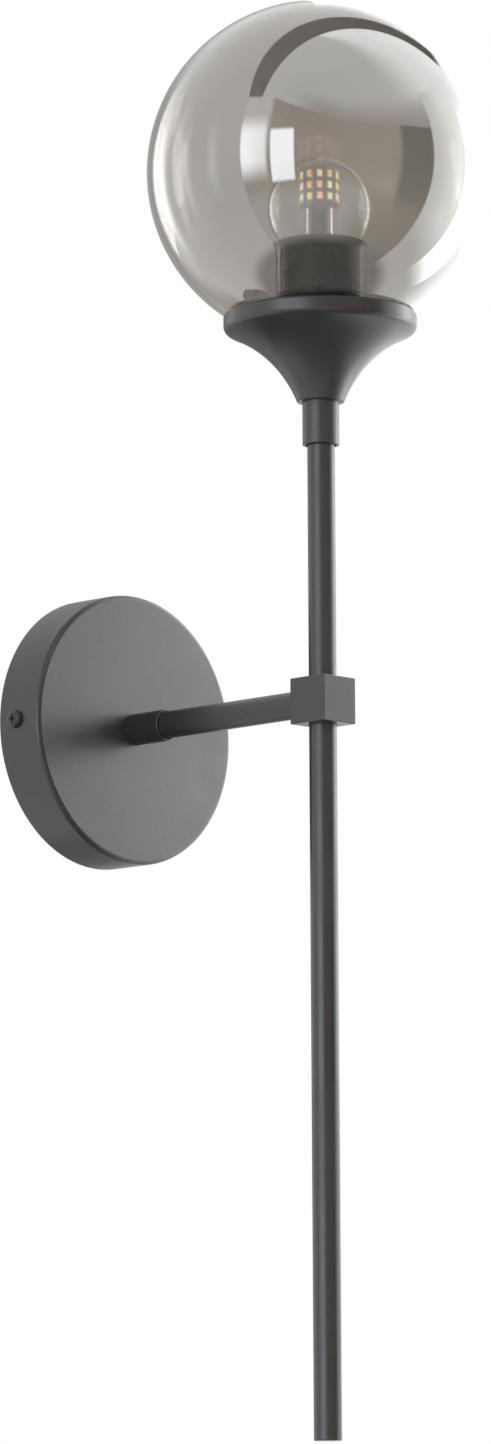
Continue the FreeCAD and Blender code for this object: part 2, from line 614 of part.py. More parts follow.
def build_chips(middle):
    chips = []
    columns, rows = round(value("chipColumns")), round(value("chipRows"))
    for column in range(columns):
        turn = math.radians(360 * (column + 0.5) / columns)
        for row in range(rows):
            chip = doc.addObject("Part::Box", f"chip_{column}_{row}")
            bind(chip, "Length", "chipThick")
            bind(chip, "Width", "chipWidth")
            bind(chip, "Height", "chipHeight")
            chip.Placement.Rotation = FreeCAD.Rotation(math.degrees(turn), 0, 0)
            across, along = f"{math.cos(turn):.9f}", f"{math.sin(turn):.9f}"
            bind(chip, "Placement.Base.x", f"ledRadius * {across} + chipWidth / 2 * {along}")
            bind(chip, "Placement.Base.y",
                 f"ledRadius * {along} - chipWidth / 2 * {across} - rodReach")
            bind(chip, "Placement.Base.z",
                 f"{middle} + ({row} - (chipRows - 1) / 2) * chipPitch - chipHeight / 2")
            chips.append(chip)
    group("led_chips", chips)


# ---- globe ----

def build_globe():
    inner = "(globeRadius - globeWall)"
    mouth = "mouthRadius - mouthWall"
    foot = "mouthBottom - globeRise"
    turned("globe_glass", "riser", "cupBase + globeRise", [
        (mouth, foot), ("mouthRadius", foot),
        ("mouthRadius", "-sqrt(globeRadius ^ 2 - mouthRadius ^ 2)"), ("0", "globeRadius"),
        ("0", inner), (mouth, f"-sqrt({inner} ^ 2 - ({mouth}) ^ 2)")],
        {2: ("globeRadius", 1), 4: (inner, -1)})
    ring("globe_seal", "riser", "cupBase + sealRise", "mouthRadius + seatGap",
         "landRadius + sealWidth - seatGap", "sealHeight")


# ---- wires inside the arm and the upper rod ----

def wire_path(points, radii):
    """Straight runs through points, joined by tangent arcs of the given radii."""
    edges, start = [], points[0]
    for corner, radius, after in zip(points[1:-1], radii, points[2:]):
        back = (start - corner).normalize()
        ahead = (after - corner).normalize()
        reach = radius / math.tan(back.getAngle(ahead) / 2)
        enter, leave = corner + back * reach, corner + ahead * reach
        middle = (back + ahead).normalize()
        inside = corner + middle * (math.hypot(radius, reach) - radius)
        edges.append(Part.LineSegment(start, enter).toShape())
        edges.append(Part.Arc(enter, inside, leave).toShape())
        start = leave
    edges.append(Part.LineSegment(start, points[-1]).toShape())
    return Part.Wire(edges)


def build_wire(label, points, radii):
    """A round wire; points are (x, distance from the wall, height)."""
    path = wire_path([FreeCAD.Vector(x, -out, up) for x, out, up in points], radii)
    start = path.Edges[0].Vertexes[0].Point
    heading = path.Edges[0].tangentAt(path.Edges[0].FirstParameter)
    end = Part.Wire(Part.makeCircle(value("wireRadius"), start, heading))
    node = doc.addObject("Part::Feature", label)
    node.Label = label
    node.Shape = path.makePipeShell([end], True, False)
    expected = math.pi * value("wireRadius") ** 2 * path.Length
    print(f"{label}: length {path.Length:.1f}, volume ratio {node.Shape.Volume / expected:.4f}")


def build_wires():
    way_out = value("bracketThick + blockDepth / 2")
    way_foot = value("blockRise - blockHeight / 2")
    offset = value("wireOffset")
    drop = offset / 2
    nipple_in = value("canopyDepth - canopyWall - washerThick - nutHeight - nippleTail")
    reach = value("rodReach")
    holder = value("cupBase + insertBase")
    nipple_top = value("cupBase + holderLift + bossHeight - nippleSink")
    tail = way_foot + value("wireTail")
    small, middle, wide = value("smallBend"), value("middleBend"), value("wideBend")
    for label, side in (("live_wire", -1), ("neutral_wire", 1)):
        pitch = side * value("wayPitch")
        terminal = side * value("terminalPitch / 2")
        build_wire(label, [
            (pitch, way_out, tail), (pitch, way_out, way_foot - value("wireDrop")),
            (side * offset, nipple_in - value("wireLead"), drop),
            (side * offset, reach - drop, drop),
            (side * offset, reach - drop, nipple_top - value("wireSink")),
            (terminal, reach, nipple_top + value("wireSpread")),
            (terminal, reach, holder + value("wireEnd"))],
            [middle, wide, wide, wide, small])
    swing, earth = -value("earthWireSwing"), -value("earthDrop")
    build_wire("earth_wire", [
        (0, way_out, tail), (0, way_out, way_foot - value("earthWireDrop")),
        (swing, way_out, -value("earthWireLevel")),
        (swing, way_out, earth + value("earthWireTurn")),
        (-value("headRadius + wireRadius + earthWireGap"),
         value("bracketThick + wireRadius + earthWireLift"), earth)],
        [middle, wide, middle])


build_bracket()
build_side_screws()
build_earth_point()
build_terminal_block()
build_terminals()
build_block_screw()
build_canopy()
build_arm()
build_cube()
build_rods()
build_cup_joint()
build_cup()
build_lampholder()
build_bulb()
build_globe()
build_wires()
doc.recompute()

# ---- test and export ----

HELPERS = ("side_screw", "side_screw_left", "terminal_tube_", "clamp_screw_", "terminal_0",
           "terminal_1", "chip_")


def is_node(thing):
    kinds = ("PartDesign::Body", "Part::Compound", "Part::Feature")
    return thing.TypeId in kinds and not thing.Label.startswith(HELPERS)


def export_all():
    for thing in doc.Objects:
        if "Invalid" in thing.State or "Error" in thing.State:
            raise RuntimeError(f"{thing.Label} failed: {thing.State}")
    nodes = [thing for thing in doc.Objects if is_node(thing)]
    for node in nodes:
        if node.Shape.isNull() or not node.Shape.isValid():
            raise RuntimeError(f"{node.Label} has no valid shape")
    os.makedirs("parts", exist_ok=True)
    for node in nodes:
        node.Shape.exportStep(f"parts/{node.Label}.step")
        print(f"{node.Label}: {len(node.Shape.Solids)} solid(s), {node.Shape.Volume:.1f} mm3")


export_all()
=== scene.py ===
import json
from math import asin, cos, degrees, pi, radians, sin, sqrt, tan

import bpy
from mathutils import Matrix, Vector

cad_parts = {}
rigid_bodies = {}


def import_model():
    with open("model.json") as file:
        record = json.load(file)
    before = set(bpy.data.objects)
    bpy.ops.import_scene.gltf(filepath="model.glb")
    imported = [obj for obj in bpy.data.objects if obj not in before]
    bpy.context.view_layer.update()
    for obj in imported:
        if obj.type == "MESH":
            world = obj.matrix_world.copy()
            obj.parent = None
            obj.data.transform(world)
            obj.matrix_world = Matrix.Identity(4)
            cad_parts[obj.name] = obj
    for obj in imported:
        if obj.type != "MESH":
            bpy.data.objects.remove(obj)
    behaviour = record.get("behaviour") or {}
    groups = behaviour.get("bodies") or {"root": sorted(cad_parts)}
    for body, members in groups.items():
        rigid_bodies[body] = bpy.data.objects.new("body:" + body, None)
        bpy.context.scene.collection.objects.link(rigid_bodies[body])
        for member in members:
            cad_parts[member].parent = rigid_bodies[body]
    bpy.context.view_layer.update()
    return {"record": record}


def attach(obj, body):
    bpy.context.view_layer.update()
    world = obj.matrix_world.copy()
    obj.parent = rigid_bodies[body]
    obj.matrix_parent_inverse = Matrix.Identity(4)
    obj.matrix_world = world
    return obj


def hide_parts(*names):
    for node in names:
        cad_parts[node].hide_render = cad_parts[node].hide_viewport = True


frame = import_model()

mm = 0.001
weldGap = 0.002 * mm              # points closer together than this become one
riser = (0, -0.138, 0)        # the upright rods' axis, at the height of the arm
plateBack = (0, 0, 0)       # middle of the mounting plate's back
turningAxes = {"Z": (0, 0, 1), "Y": (0, -1, 0), "X": (1, 0, 0)}


def switchTo(mode):
    bpy.ops.object.mode_set(mode=mode)


def deselectAll():
    if bpy.context.mode != "OBJECT":
        switchTo("OBJECT")
    bpy.ops.object.select_all(action="DESELECT")


def takeUp(piece):
    deselectAll()
    piece.select_set(True)
    bpy.context.view_layer.objects.active = piece


# the object just made, with its name
def newest(name):
    bpy.context.object.name = name
    return bpy.context.object


# opens the piece in edit mode with all selected, or with nothing, ready to pick faces
def openUp(piece, faces=False):
    takeUp(piece)
    bpy.context.tool_settings.mesh_select_mode = (not faces, False, faces)
    switchTo("EDIT")
    bpy.ops.mesh.select_all(action="DESELECT" if faces else "SELECT")


# leaves the object at the origin, with its place in its mesh
def settle(piece):
    takeUp(piece)
    bpy.ops.object.transform_apply(location=True, rotation=True, scale=True)


# welds the points that meet and turns all faces outwards
def closeUp(piece):
    openUp(piece)
    bpy.ops.mesh.remove_doubles(threshold=weldGap)
    bpy.ops.mesh.normals_make_consistent(inside=False)
    settle(piece)


def discard(piece):
    takeUp(piece)
    bpy.ops.object.delete()


# a point given in mm across and along a turning axis through home
def placeOn(home, along, across, up):
    x, y, z = home
    if along == "Z":
        return Vector((x + across * mm, y, z + up * mm))
    if along == "Y":
        return Vector((x + across * mm, y - up * mm, z))
    return Vector((x + up * mm, y, z + across * mm))


# draws an outline point by point and stays in edit mode
def traceOutline(name, outline, home, along):
    deselectAll()
    spots = [placeOn(home, along, across, up) for across, up in outline]
    bpy.ops.mesh.primitive_plane_add(size=mm, location=spots[0])
    piece = newest(name)
    openUp(piece)
    bpy.ops.mesh.merge(type="CENTER")
    for last, spot in zip(spots, spots[1:]):
        bpy.ops.mesh.extrude_region_move(TRANSFORM_OT_translate={"value": spot - last})
    bpy.ops.mesh.select_all(action="SELECT")
    return piece


def turnPiece(name, outline, home=riser, along="Z", steps=96):
    piece = traceOutline(name, outline, home, along)
    bpy.ops.mesh.spin(steps=steps, angle=2 * pi, center=home, axis=turningAxes[along])
    closeUp(piece)
    return piece


# a closed outline with both ends alike; points are across and in from an end
def ringOutline(points, start, end):
    outline = [(across, start + inset) for across, inset in points]
    outline += [(across, end - inset) for across, inset in reversed(points)]
    return outline + outline[:1]


def arcPoints(across, up, radius, start, end, count):
    turns = [radians(start + (end - start) * step / count) for step in range(count + 1)]
    return [(across + radius * cos(turn), up + radius * sin(turn)) for turn in turns]


ridgeShape = {"half": 0.47, "buried": 0.3, "sharp": 2, "rolled": 8}    # shares, then steps


# one closed ridge wound round the axis: a cut or a rolled thread
def windRidge(name, start, turns, pitch, root, depth, home=riser, along="Z", steps=64,
              kind="rolled"):
    half, waves = ridgeShape["half"] * pitch, ridgeShape[kind]
    buried = root - ridgeShape["buried"] * depth
    outline = [(root + depth * (1 - cos(2 * pi * step / waves)) / 2,
                start + half * (2 * step / waves - 1)) for step in range(waves + 1)]
    outline += [(buried, start + half), (buried, start - half), outline[0]]
    piece = traceOutline(name, outline, home, along)
    bpy.ops.mesh.remove_doubles(threshold=weldGap)
    switchTo("OBJECT")
    bpy.context.scene.cursor.location = home
    bpy.ops.object.origin_set(type="ORIGIN_CURSOR")
    side = -1 if along == "Y" else 1
    winding = piece.modifiers.new("winding", "SCREW")
    winding.axis = along
    winding.angle = side * 2 * pi
    winding.screw_offset = side * pitch * mm
    winding.iterations = turns
    winding.steps = winding.render_steps = steps
    bpy.ops.object.modifier_apply(modifier="winding")
    openUp(piece)
    bpy.ops.mesh.fill_holes(sides=0)
    closeUp(piece)
    return piece


# a box given by its middle and its sides in mm, with its edges rounded
def blockPiece(name, middle, sides, edge=0, segments=2):
    deselectAll()
    bpy.ops.mesh.primitive_cube_add(size=mm, location=Vector(middle) * mm, scale=sides)
    piece = newest(name)
    settle(piece)
    if edge:
        openUp(piece)
        bpy.ops.mesh.bevel(offset=edge * mm, segments=segments, affect="EDGES")
        switchTo("OBJECT")
    return piece


# selects the faces that pass the test, in edit mode
def pickFaces(piece, chosen):
    openUp(piece, faces=True)
    switchTo("OBJECT")
    for face in piece.data.polygons:
        face.select = chosen(face.center, face.normal)
    switchTo("EDIT")


def copyTo(piece, name, move):
    takeUp(piece)
    bpy.ops.object.duplicate(linked=False)
    twin = newest(name)
    twin.matrix_world = move
    settle(twin)
    return twin


def joinAll(name, pieces):
    takeUp(pieces[0])
    for piece in pieces[1:]:
        piece.select_set(True)
    if len(pieces) > 1:
        bpy.ops.object.join()
    return newest(name)


def combine(piece, other, operation="DIFFERENCE"):
    takeUp(piece)
    step = piece.modifiers.new("step", "BOOLEAN")
    step.operation, step.solver, step.object = operation, "EXACT", other
    bpy.ops.object.modifier_apply(modifier="step")
    discard(other)
    takeUp(piece)


# a wire on one smooth line through its route's points, in mm
def wirePiece(name, route, radius):
    deselectAll()
    bpy.ops.curve.primitive_nurbs_path_add(location=(0, 0, 0))
    piece = newest(name)
    line = piece.data
    line.splines.clear()
    spline = line.splines.new("NURBS")
    spline.points.add(len(route) - 1)
    for point, spot in zip(spline.points, route):
        point.co = (*(Vector(spot) * mm), 1)
    spline.order_u = 3
    spline.use_endpoint_u = True
    spline.resolution_u = 10
    line.dimensions = "3D"
    line.bevel_depth = radius * mm
    line.bevel_resolution = 4
    line.use_fill_caps = True
    bpy.ops.object.convert(target="MESH")
    closeUp(piece)
    return piece


# a finish, then what the piece rides on and replaces
def handOver(piece, body, slotName, *nodes, finish=None, painted=False, angle=40):
    if not painted:
        piece.data.materials.clear()
        piece.data.materials.append(finish or finishOfSlot[slotName])
    takeUp(piece)
    bpy.ops.object.shade_smooth_by_angle(angle=radians(angle))
    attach(piece, body)
    if nodes:
        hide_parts(*nodes)


# fitted to the outlines in the photograph
cameraPlace = {"azimuth": -45.875, "elevation": -8.61, "roll": -0.3, "distance": 2.7129,
               "aim": (0, -0.1376, -0.00875), "shift": -0.033, "focalPixels": 6314.5,
               "pixelsHigh": 1444, "sensor": 36, "clip": 0.01}


def placeCamera():
    place = cameraPlace
    azimuth, elevation, roll = (radians(place[name]) for name in ("azimuth", "elevation", "roll"))
    right = Vector((cos(azimuth), sin(azimuth), 0))
    back = Vector((sin(azimuth) * cos(elevation), -cos(azimuth) * cos(elevation), sin(elevation)))
    up = back.cross(right)
    spot = Vector(place["aim"]) + right * place["shift"] + back * place["distance"]
    turn = Matrix((right * cos(roll) + up * sin(roll), up * cos(roll) - right * sin(roll), back))
    deselectAll()
    bpy.ops.object.camera_add(location=spot)
    camera = newest("studioCamera")
    camera.matrix_world = Matrix.Translation(spot) @ turn.transposed().to_4x4()
    camera.data.sensor_fit = "VERTICAL"
    camera.data.sensor_height = place["sensor"]
    camera.data.lens = place["focalPixels"] / place["pixelsHigh"] * place["sensor"]
    camera.data.clip_start = place["clip"]
    bpy.context.scene.camera = camera


placeCamera()
print("camera placed")


# links an input to a socket or gives it a value
def feed(tree, inputs, sockets):
    for socket, wanted in sockets.items():
        if isinstance(wanted, bpy.types.NodeSocket):
            tree.links.new(wanted, inputs[socket])
        else:
            opaque = inputs[socket].type == "RGBA"
            inputs[socket].default_value = (*wanted, 1) if opaque else wanted


def addNode(tree, kind, sockets=None, **settings):
    node = tree.nodes.new("ShaderNode" + kind)
    for setting, wanted in settings.items():
        setattr(node, setting, wanted)
    feed(tree, node.inputs, sockets or {})
    return node


def calculate(tree, operation, *terms):
    return addNode(tree, "Math", dict(enumerate(terms)), operation=operation).outputs[0]


def times(tree, *factors):
    product = factors[0]
    for factor in factors[1:]:
        product = calculate(tree, "MULTIPLY", product, factor)
    return product


def mix(tree, amount, first, second):
    colours = {"Factor": amount, 6: first, 7: second}
    return addNode(tree, "Mix", colours, data_type="RGBA").outputs[2]


# the first with its share, the second with the rest
def weigh(tree, share, first, second):
    return calculate(tree, "MULTIPLY_ADD", first, share, times(tree, second, 1 - share))


def fade(tree, value, low, high, start=0, end=1):
    sockets = {"Value": value, "From Min": low, "From Max": high, "To Min": start, "To Max": end}
    return addNode(tree, "MapRange", sockets, interpolation_type="SMOOTHSTEP").outputs[0]


# a little to both sides of the middle
def driftBy(tree, value, middle, share):
    return fade(tree, value, 0, 1, middle * (1 - share), middle * (1 + share))


def noiseOn(tree, place, scale, detail, roughness=0.5):
    sockets = {"Vector": place, "Scale": scale, "Detail": detail, "Roughness": roughness}
    return addNode(tree, "TexNoise", sockets).outputs[0]


# a group that takes a place and the numbers named
def newGroup(name, numbers, outputs):
    group = bpy.data.node_groups.new(name, "ShaderNodeTree")
    group.interface.new_socket("Place", in_out="INPUT", socket_type="NodeSocketVector")
    for side, names in (("INPUT", numbers), ("OUTPUT", outputs)):
        for socketName in names:
            group.interface.new_socket(socketName, in_out=side, socket_type="NodeSocketFloat")
    given = group.nodes.new("NodeGroupInput").outputs
    return group, given, group.nodes.new("NodeGroupOutput").inputs


def useGroup(tree, group, place, **numbers):
    return addNode(tree, "Group", {"Place": place, **numbers}, node_tree=group).outputs


def newFinish(name):
    finish = bpy.data.materials.new(name)
    finish.use_nodes = True
    tree = finish.node_tree
    place = tree.nodes.new("ShaderNodeTexCoord").outputs["Object"]
    return finish, tree, tree.nodes["Principled BSDF"], place


def bumpOn(tree, shader, height, strength, distance):
    bump = addNode(tree, "Bump", {"Height": height, "Strength": strength, "Distance": distance})
    feed(tree, shader.inputs, {"Normal": bump.outputs[0]})


# shows the second shader where the mask is 1
def blendShaders(tree, mask, first, second):
    mixed = addNode(tree, "MixShader", {0: mask, 1: first.outputs[0], 2: second.outputs[0]})
    feed(tree, tree.nodes["Material Output"].inputs, {"Surface": mixed.outputs[0]})


evenFade = (0.3, 0.7)        # brings noise to the full range from 0 to 1
grainShape = {"detail": 2, "roughness": 0.6, "coarse": 0.31, "coarseDetail": 3,
              "fineShare": 0.6, "cloud": 26, "cloudDetail": 3, "speckle": (0.35, 0.7),
              "speckleShare": 0.75}


# fine sand texture of a powder coat, with flakes that differ in tone
def makeCoatGrain():
    shape = grainShape
    group, given, out = newGroup("coatGrain", ("Grain", "Unevenness"), ("Height", "Tone", "Gloss"))
    place, grain = given["Place"], given["Grain"]
    fine = noiseOn(group, place, grain, shape["detail"], shape["roughness"])
    coarse = noiseOn(group, place, times(group, grain, shape["coarse"]), shape["coarseDetail"])
    broad = noiseOn(group, place, shape["cloud"], shape["cloudDetail"])
    speckle = fade(group, fine, *shape["speckle"], -1, 1)
    cloud = fade(group, broad, *evenFade, -1, 1)
    uneven = weigh(group, shape["speckleShare"], speckle, cloud)
    feed(group, out, {
        "Height": weigh(group, shape["fineShare"], fine, coarse),
        "Tone": calculate(group, "MULTIPLY_ADD", uneven, given["Unevenness"], 0.5),
        "Gloss": calculate(group, "MULTIPLY_ADD", cloud, 0.5, 0.5)})
    return group


mottleShape = {"detail": 4, "roughness": 0.55, "fineDetail": 2}


# slow variation: handling, plating or moulding that isn't quite even
def makeSoftMottle():
    shape = mottleShape
    group, given, out = newGroup("softMottle", ("Patch", "Fine"), ("Mottle", "Height"))
    slow = noiseOn(group, given["Place"], given["Patch"], shape["detail"], shape["roughness"])
    quick = noiseOn(group, given["Place"], given["Fine"], shape["fineDetail"])
    feed(group, out, {"Mottle": fade(group, slow, *evenFade), "Height": quick})
    return group


dustShape = {"specks": 420, "detail": 5, "roughness": 0.7, "facing": (0.2, 1),
             "breaks": (0.42, 0.72)}


# thin dust on what faces up, broken up by noise
def makeSettledDust():
    shape = dustShape
    group, given, out = newGroup("settledDust", ("Amount",), ("Dust",))
    facing = addNode(group, "NewGeometry").outputs["Normal"]
    upward = addNode(group, "SeparateXYZ", {"Vector": facing}).outputs["Z"]
    specks = noiseOn(group, given["Place"], shape["specks"], shape["detail"], shape["roughness"])
    feed(group, out, {"Dust": times(group, fade(group, upward, *shape["facing"]),
                                    given["Amount"], fade(group, specks, *shape["breaks"]))})
    return group


lineShape = {"stretch": (0.04, 0.04, 1), "spacing": 3500, "detail": 2}


# fine lines left by a lathe, a die or a brush
def makeToolLines():
    shape = lineShape
    group, given, out = newGroup("toolLines", (), ("Height", "Tone"))
    stretched = addNode(group, "VectorMath", {0: given["Place"], 1: shape["stretch"]},
                        operation="MULTIPLY").outputs[0]
    lines = noiseOn(group, stretched, shape["spacing"], shape["detail"])
    feed(group, out, {"Height": lines, "Tone": fade(group, lines, *evenFade)})
    return group


coatGrain = makeCoatGrain()
softMottle = makeSoftMottle()
settledDust = makeSettledDust()
toolLines = makeToolLines()


charcoalLook = {"dark": (0.014, 0.014, 0.0168), "light": (0.03, 0.0295, 0.035),
                "dust": (0.2, 0.195, 0.19), "dustAmount": 0.1, "grain": 1900,
                "unevenness": 0.4, "roughness": (0.3, 0.38), "gloss": 0.72, "bump": 0.4,
                "depth": 0.00012}


def makeCharcoalCoat():
    look = charcoalLook
    finish, tree, shader, place = newFinish("charcoalPowderCoat")
    coat = useGroup(tree, coatGrain, place, Grain=look["grain"], Unevenness=look["unevenness"])
    dust = useGroup(tree, settledDust, place, Amount=look["dustAmount"])["Dust"]
    colour = mix(tree, coat["Tone"], look["dark"], look["light"])
    feed(tree, shader.inputs, {
        "Base Color": mix(tree, dust, colour, look["dust"]),
        "Roughness": fade(tree, coat["Gloss"], 0, 1, *look["roughness"]),
        "Specular IOR Level": look["gloss"]})
    bumpOn(tree, shader, coat["Height"], look["bump"], look["depth"])
    return finish


metalLook = {"patch": 140, "lineShare": 0.4, "drift": 0.2, "bump": 0.15, "depth": 0.00004}


def makeMetal(name, first, second, roughness, metallic=1):
    look = metalLook
    finish, tree, shader, place = newFinish(name)
    mottle = useGroup(tree, softMottle, place, Patch=look["patch"])
    marks = useGroup(tree, toolLines, place)
    blend = weigh(tree, look["lineShare"], marks["Tone"], mottle["Mottle"])
    feed(tree, shader.inputs, {
        "Metallic": metallic, "Base Color": mix(tree, blend, first, second),
        "Roughness": driftBy(tree, blend, roughness, look["drift"])})
    bumpOn(tree, shader, marks["Height"], look["bump"], look["depth"])
    return finish


plasticLook = {"patch": 70, "fine": 1600, "drift": 0.15, "coatRoughness": 0.08, "bump": 0.12,
               "depth": 0.00005}


# moulded or glazed: one colour that drifts a little, and a fine surface; glow adds a painted glow
# of that colour
def makePlastic(name, first, second, roughness, coat=0, glow=0):
    look = plasticLook
    finish, tree, shader, place = newFinish(name)
    mottle = useGroup(tree, softMottle, place, Patch=look["patch"], Fine=look["fine"])
    colour = mix(tree, mottle["Mottle"], first, second)
    feed(tree, shader.inputs, {
        "Base Color": colour, "Coat Weight": coat, "Coat Roughness": look["coatRoughness"],
        "Roughness": driftBy(tree, mottle["Mottle"], roughness, look["drift"])})
    # painted glow: the piece's own colour given off as light, though it is no lamp
    if glow:
        feed(tree, shader.inputs, {"Emission Color": colour, "Emission Strength": glow})
    bumpOn(tree, shader, mottle["Height"], look["bump"], look["depth"])
    return finish


glassLook = {"ior": 1.45, "fine": 2.2, "bump": 0.3, "depth": 0.00002}


# blown glass with slow waves; lamps shine through it tinted by shade
def makeGlass(name, clear, faint, coatIor=0, shade=(0.96, 0.96, 0.96), waves=9):
    look = glassLook
    finish, tree, shader, place = newFinish(name)
    mottle = useGroup(tree, softMottle, place, Patch=waves, Fine=waves * look["fine"])
    feed(tree, shader.inputs, {
        "Base Color": mix(tree, mottle["Mottle"], clear, faint), "Roughness": 0,
        "IOR": look["ior"], "Transmission Weight": 1})
    if coatIor:
        feed(tree, shader.inputs, {"Coat Weight": 1, "Coat IOR": coatIor, "Coat Roughness": 0})
    bumpOn(tree, shader, mottle["Height"], look["bump"], look["depth"])
    passing = addNode(tree, "BsdfTransparent", {"Color": shade})
    shadowRay = addNode(tree, "LightPath").outputs["Is Shadow Ray"]
    blendShaders(tree, shadowRay, shader, passing)
    return finish


# glow is the strength of a painted glow on the chips
phosphorLook = {"yellow": (0.86, 0.8, 0.2), "orange": (0.95, 0.46, 0.1),
                "orangeFade": (0.35, 0.95), "pale": (0.9, 0.86, 0.66),
                "paleFade": (0, 0.3, 0.75, 0), "grain": (1, 0.86, 0.42), "grainShare": 0.3,
                "patch": 900, "fine": 5200, "glow": 1.5, "roughness": 0.35, "bump": 0.2,
                "depth": 0.00003}


# each chip carries its own tone from 0 to 1; its colour also glows, a painted glow that brightens
# the chips behind the smoke glass
def makePhosphor():
    look = phosphorLook
    finish, tree, shader, place = newFinish("ledPhosphor")
    tone = addNode(tree, "Attribute", attribute_name="chipTone").outputs["Fac"]
    grains = useGroup(tree, softMottle, place, Patch=look["patch"], Fine=look["fine"])
    warm = mix(tree, fade(tree, tone, *look["orangeFade"]), look["yellow"], look["orange"])
    pale = mix(tree, fade(tree, tone, *look["paleFade"]), warm, look["pale"])
    colour = mix(tree, times(tree, grains["Mottle"], look["grainShare"]), pale, look["grain"])
    feed(tree, shader.inputs, {"Base Color": colour, "Emission Color": colour,
                               "Emission Strength": look["glow"], "Roughness": look["roughness"]})
    bumpOn(tree, shader, grains["Height"], look["bump"], look["depth"])
    return finish


# name, darker and lighter tone, roughness, then how metallic
metals = {
    "black_screw": ("blackenedScrew", (0.012, 0.012, 0.013), (0.028, 0.028, 0.03), 0.34, 0),
    "zinc_steel": ("zincPlatedSteel", (0.52, 0.53, 0.55), (0.7, 0.71, 0.7), 0.3),
    "brass": ("plainBrass", (0.68, 0.5, 0.23), (0.86, 0.68, 0.36), 0.26),
    "nickel": ("nickelPlatedCap", (0.66, 0.65, 0.62), (0.8, 0.79, 0.77), 0.2),
}
# name, darker and lighter tone, roughness, then gloss coat and painted glow
plastics = {
    "black_plastic": ("holderBlackPlastic", (0.022, 0.022, 0.023), (0.036, 0.035, 0.036), 0.3, 0.2),
    "white_plastic": ("blockWhitePlastic", (0.8, 0.8, 0.76), (0.88, 0.88, 0.86), 0.45),
    "ceramic": ("glazedCeramic", (0.76, 0.74, 0.69), (0.86, 0.85, 0.82), 0.3, 0.6),
    "brown_insulation": ("brownInsulation", (0.2, 0.1, 0.05), (0.28, 0.15, 0.08), 0.5),
    "blue_insulation": ("blueInsulation", (0.06, 0.17, 0.52), (0.1, 0.26, 0.68), 0.5),
    "green_insulation": ("greenInsulation", (0.16, 0.42, 0.09), (0.25, 0.57, 0.15), 0.5),
    "black_insulator": ("blackGlassInsulator", (0.02, 0.02, 0.02), (0.04, 0.04, 0.04), 0.15, 0.5),
    # the board's last number is a painted glow that brightens it
    "led_board": ("ledBoard", (0.3, 0.24, 0.25), (0.46, 0.38, 0.4), 0.4, 0, 0.35),
    "seal_rubber": ("sealSilicone", (0.68, 0.68, 0.65), (0.8, 0.8, 0.78), 0.45),
}
smokeTones = (0.45, 0.43, 0.405), (0.47, 0.45, 0.425)
smokeShade = (0.6, 0.59, 0.58)
finishOfSlot = {
    "charcoal_powder_coat": makeCharcoalCoat(),
    "led_phosphor": makePhosphor(),
    "clear_glass": makeGlass("clearGlass", (0.985, 0.99, 0.99), (0.995, 0.995, 0.995), waves=24),
    "smoke_glass": makeGlass("smokeGlassPlated", *smokeTones, coatIor=2.5, shade=smokeShade),
    **{slotName: makeMetal(*look) for slotName, look in metals.items()},
    **{slotName: makePlastic(*look) for slotName, look in plastics.items()},
}
smokeGlassInside = makeGlass("smokeGlassInside", *smokeTones, shade=smokeShade)
copper = makeMetal("bareCopper", (0.72, 0.36, 0.2), (0.88, 0.5, 0.32), 0.3)
solder = makeMetal("tinSolder", (0.62, 0.6, 0.58), (0.8, 0.79, 0.77), 0.35)
# the chip housing gets a painted glow that brightens it
chipHousing = makePlastic("chipHousing", (0.8, 0.78, 0.72), (0.88, 0.87, 0.83), 0.4, glow=0.3)


def dressNodes():
    for part in frame["record"]["subparts"]:
        node = bpy.data.objects[part["node"]]
        node.data.materials.clear()
        node.data.materials.append(finishOfSlot[part["material_slot"]])


dressNodes()
print("finishes made")


globeSizes = {"centre": 232.79, "radius": 75, "wall": 2, "neckOuter": 28.5, "neckInner": 26,
              "bottom": 157.72, "lip": 0.9}


def makeGlobe():
    size = globeSizes
    middle, outer, inner = size["centre"], size["radius"], size["radius"] - size["wall"]
    bottom, lip = size["bottom"], size["lip"]
    outerEnd = degrees(asin(size["neckOuter"] / outer)) - 90
    innerEnd = degrees(asin(size["neckInner"] / inner)) - 90
    outline = arcPoints(0, middle, inner, 90, innerEnd, 72)
    outline += arcPoints(size["neckInner"] + lip, bottom + lip, lip, 180, 270, 4)
    outline += arcPoints(size["neckOuter"] - lip, bottom + lip, lip, 270, 360, 4)
    outline += arcPoints(0, middle, outer, outerEnd, 90, 72)
    globe = turnPiece("globeShade", outline, steps=128)
    handOver(globe, "globe", "smoke_glass", "globe_glass")
    globe.data.materials.append(smokeGlassInside)
    heart = placeOn(riser, "Z", 0, middle)
    for face in globe.data.polygons:
        if face.normal.dot(face.center - heart) < 0:
            face.material_index = 1        # the plating is on the outside only


makeGlobe()
print("globe made")


bulbSizes = {"centre": 216.6, "radius": 22.5, "wall": 1, "neck": 12.6, "neckLength": 10}
stemSizes = {"wall": 0.7, "foot": 185.1, "footTop": 186.6, "footRadius": 11.55,
             "flare": ((9.6, 189.6), (8.5, 193.4), (7.8, 197.2), (7.6, 200.1), (7.2, 202.2),
                       (6.4, 204.4), (5.9, 206.1)),
             "top": 220.5, "topRound": 1.6, "pump": (2.9, 3.7), "pumpEnds": (193, 217.5),
             "leadReach": 3.12, "leadRadius": 0.35,
             "leadRoute": ((0.6, 181), (1, 192), (1, 204), (1, 214), (0.9, 218.6))}


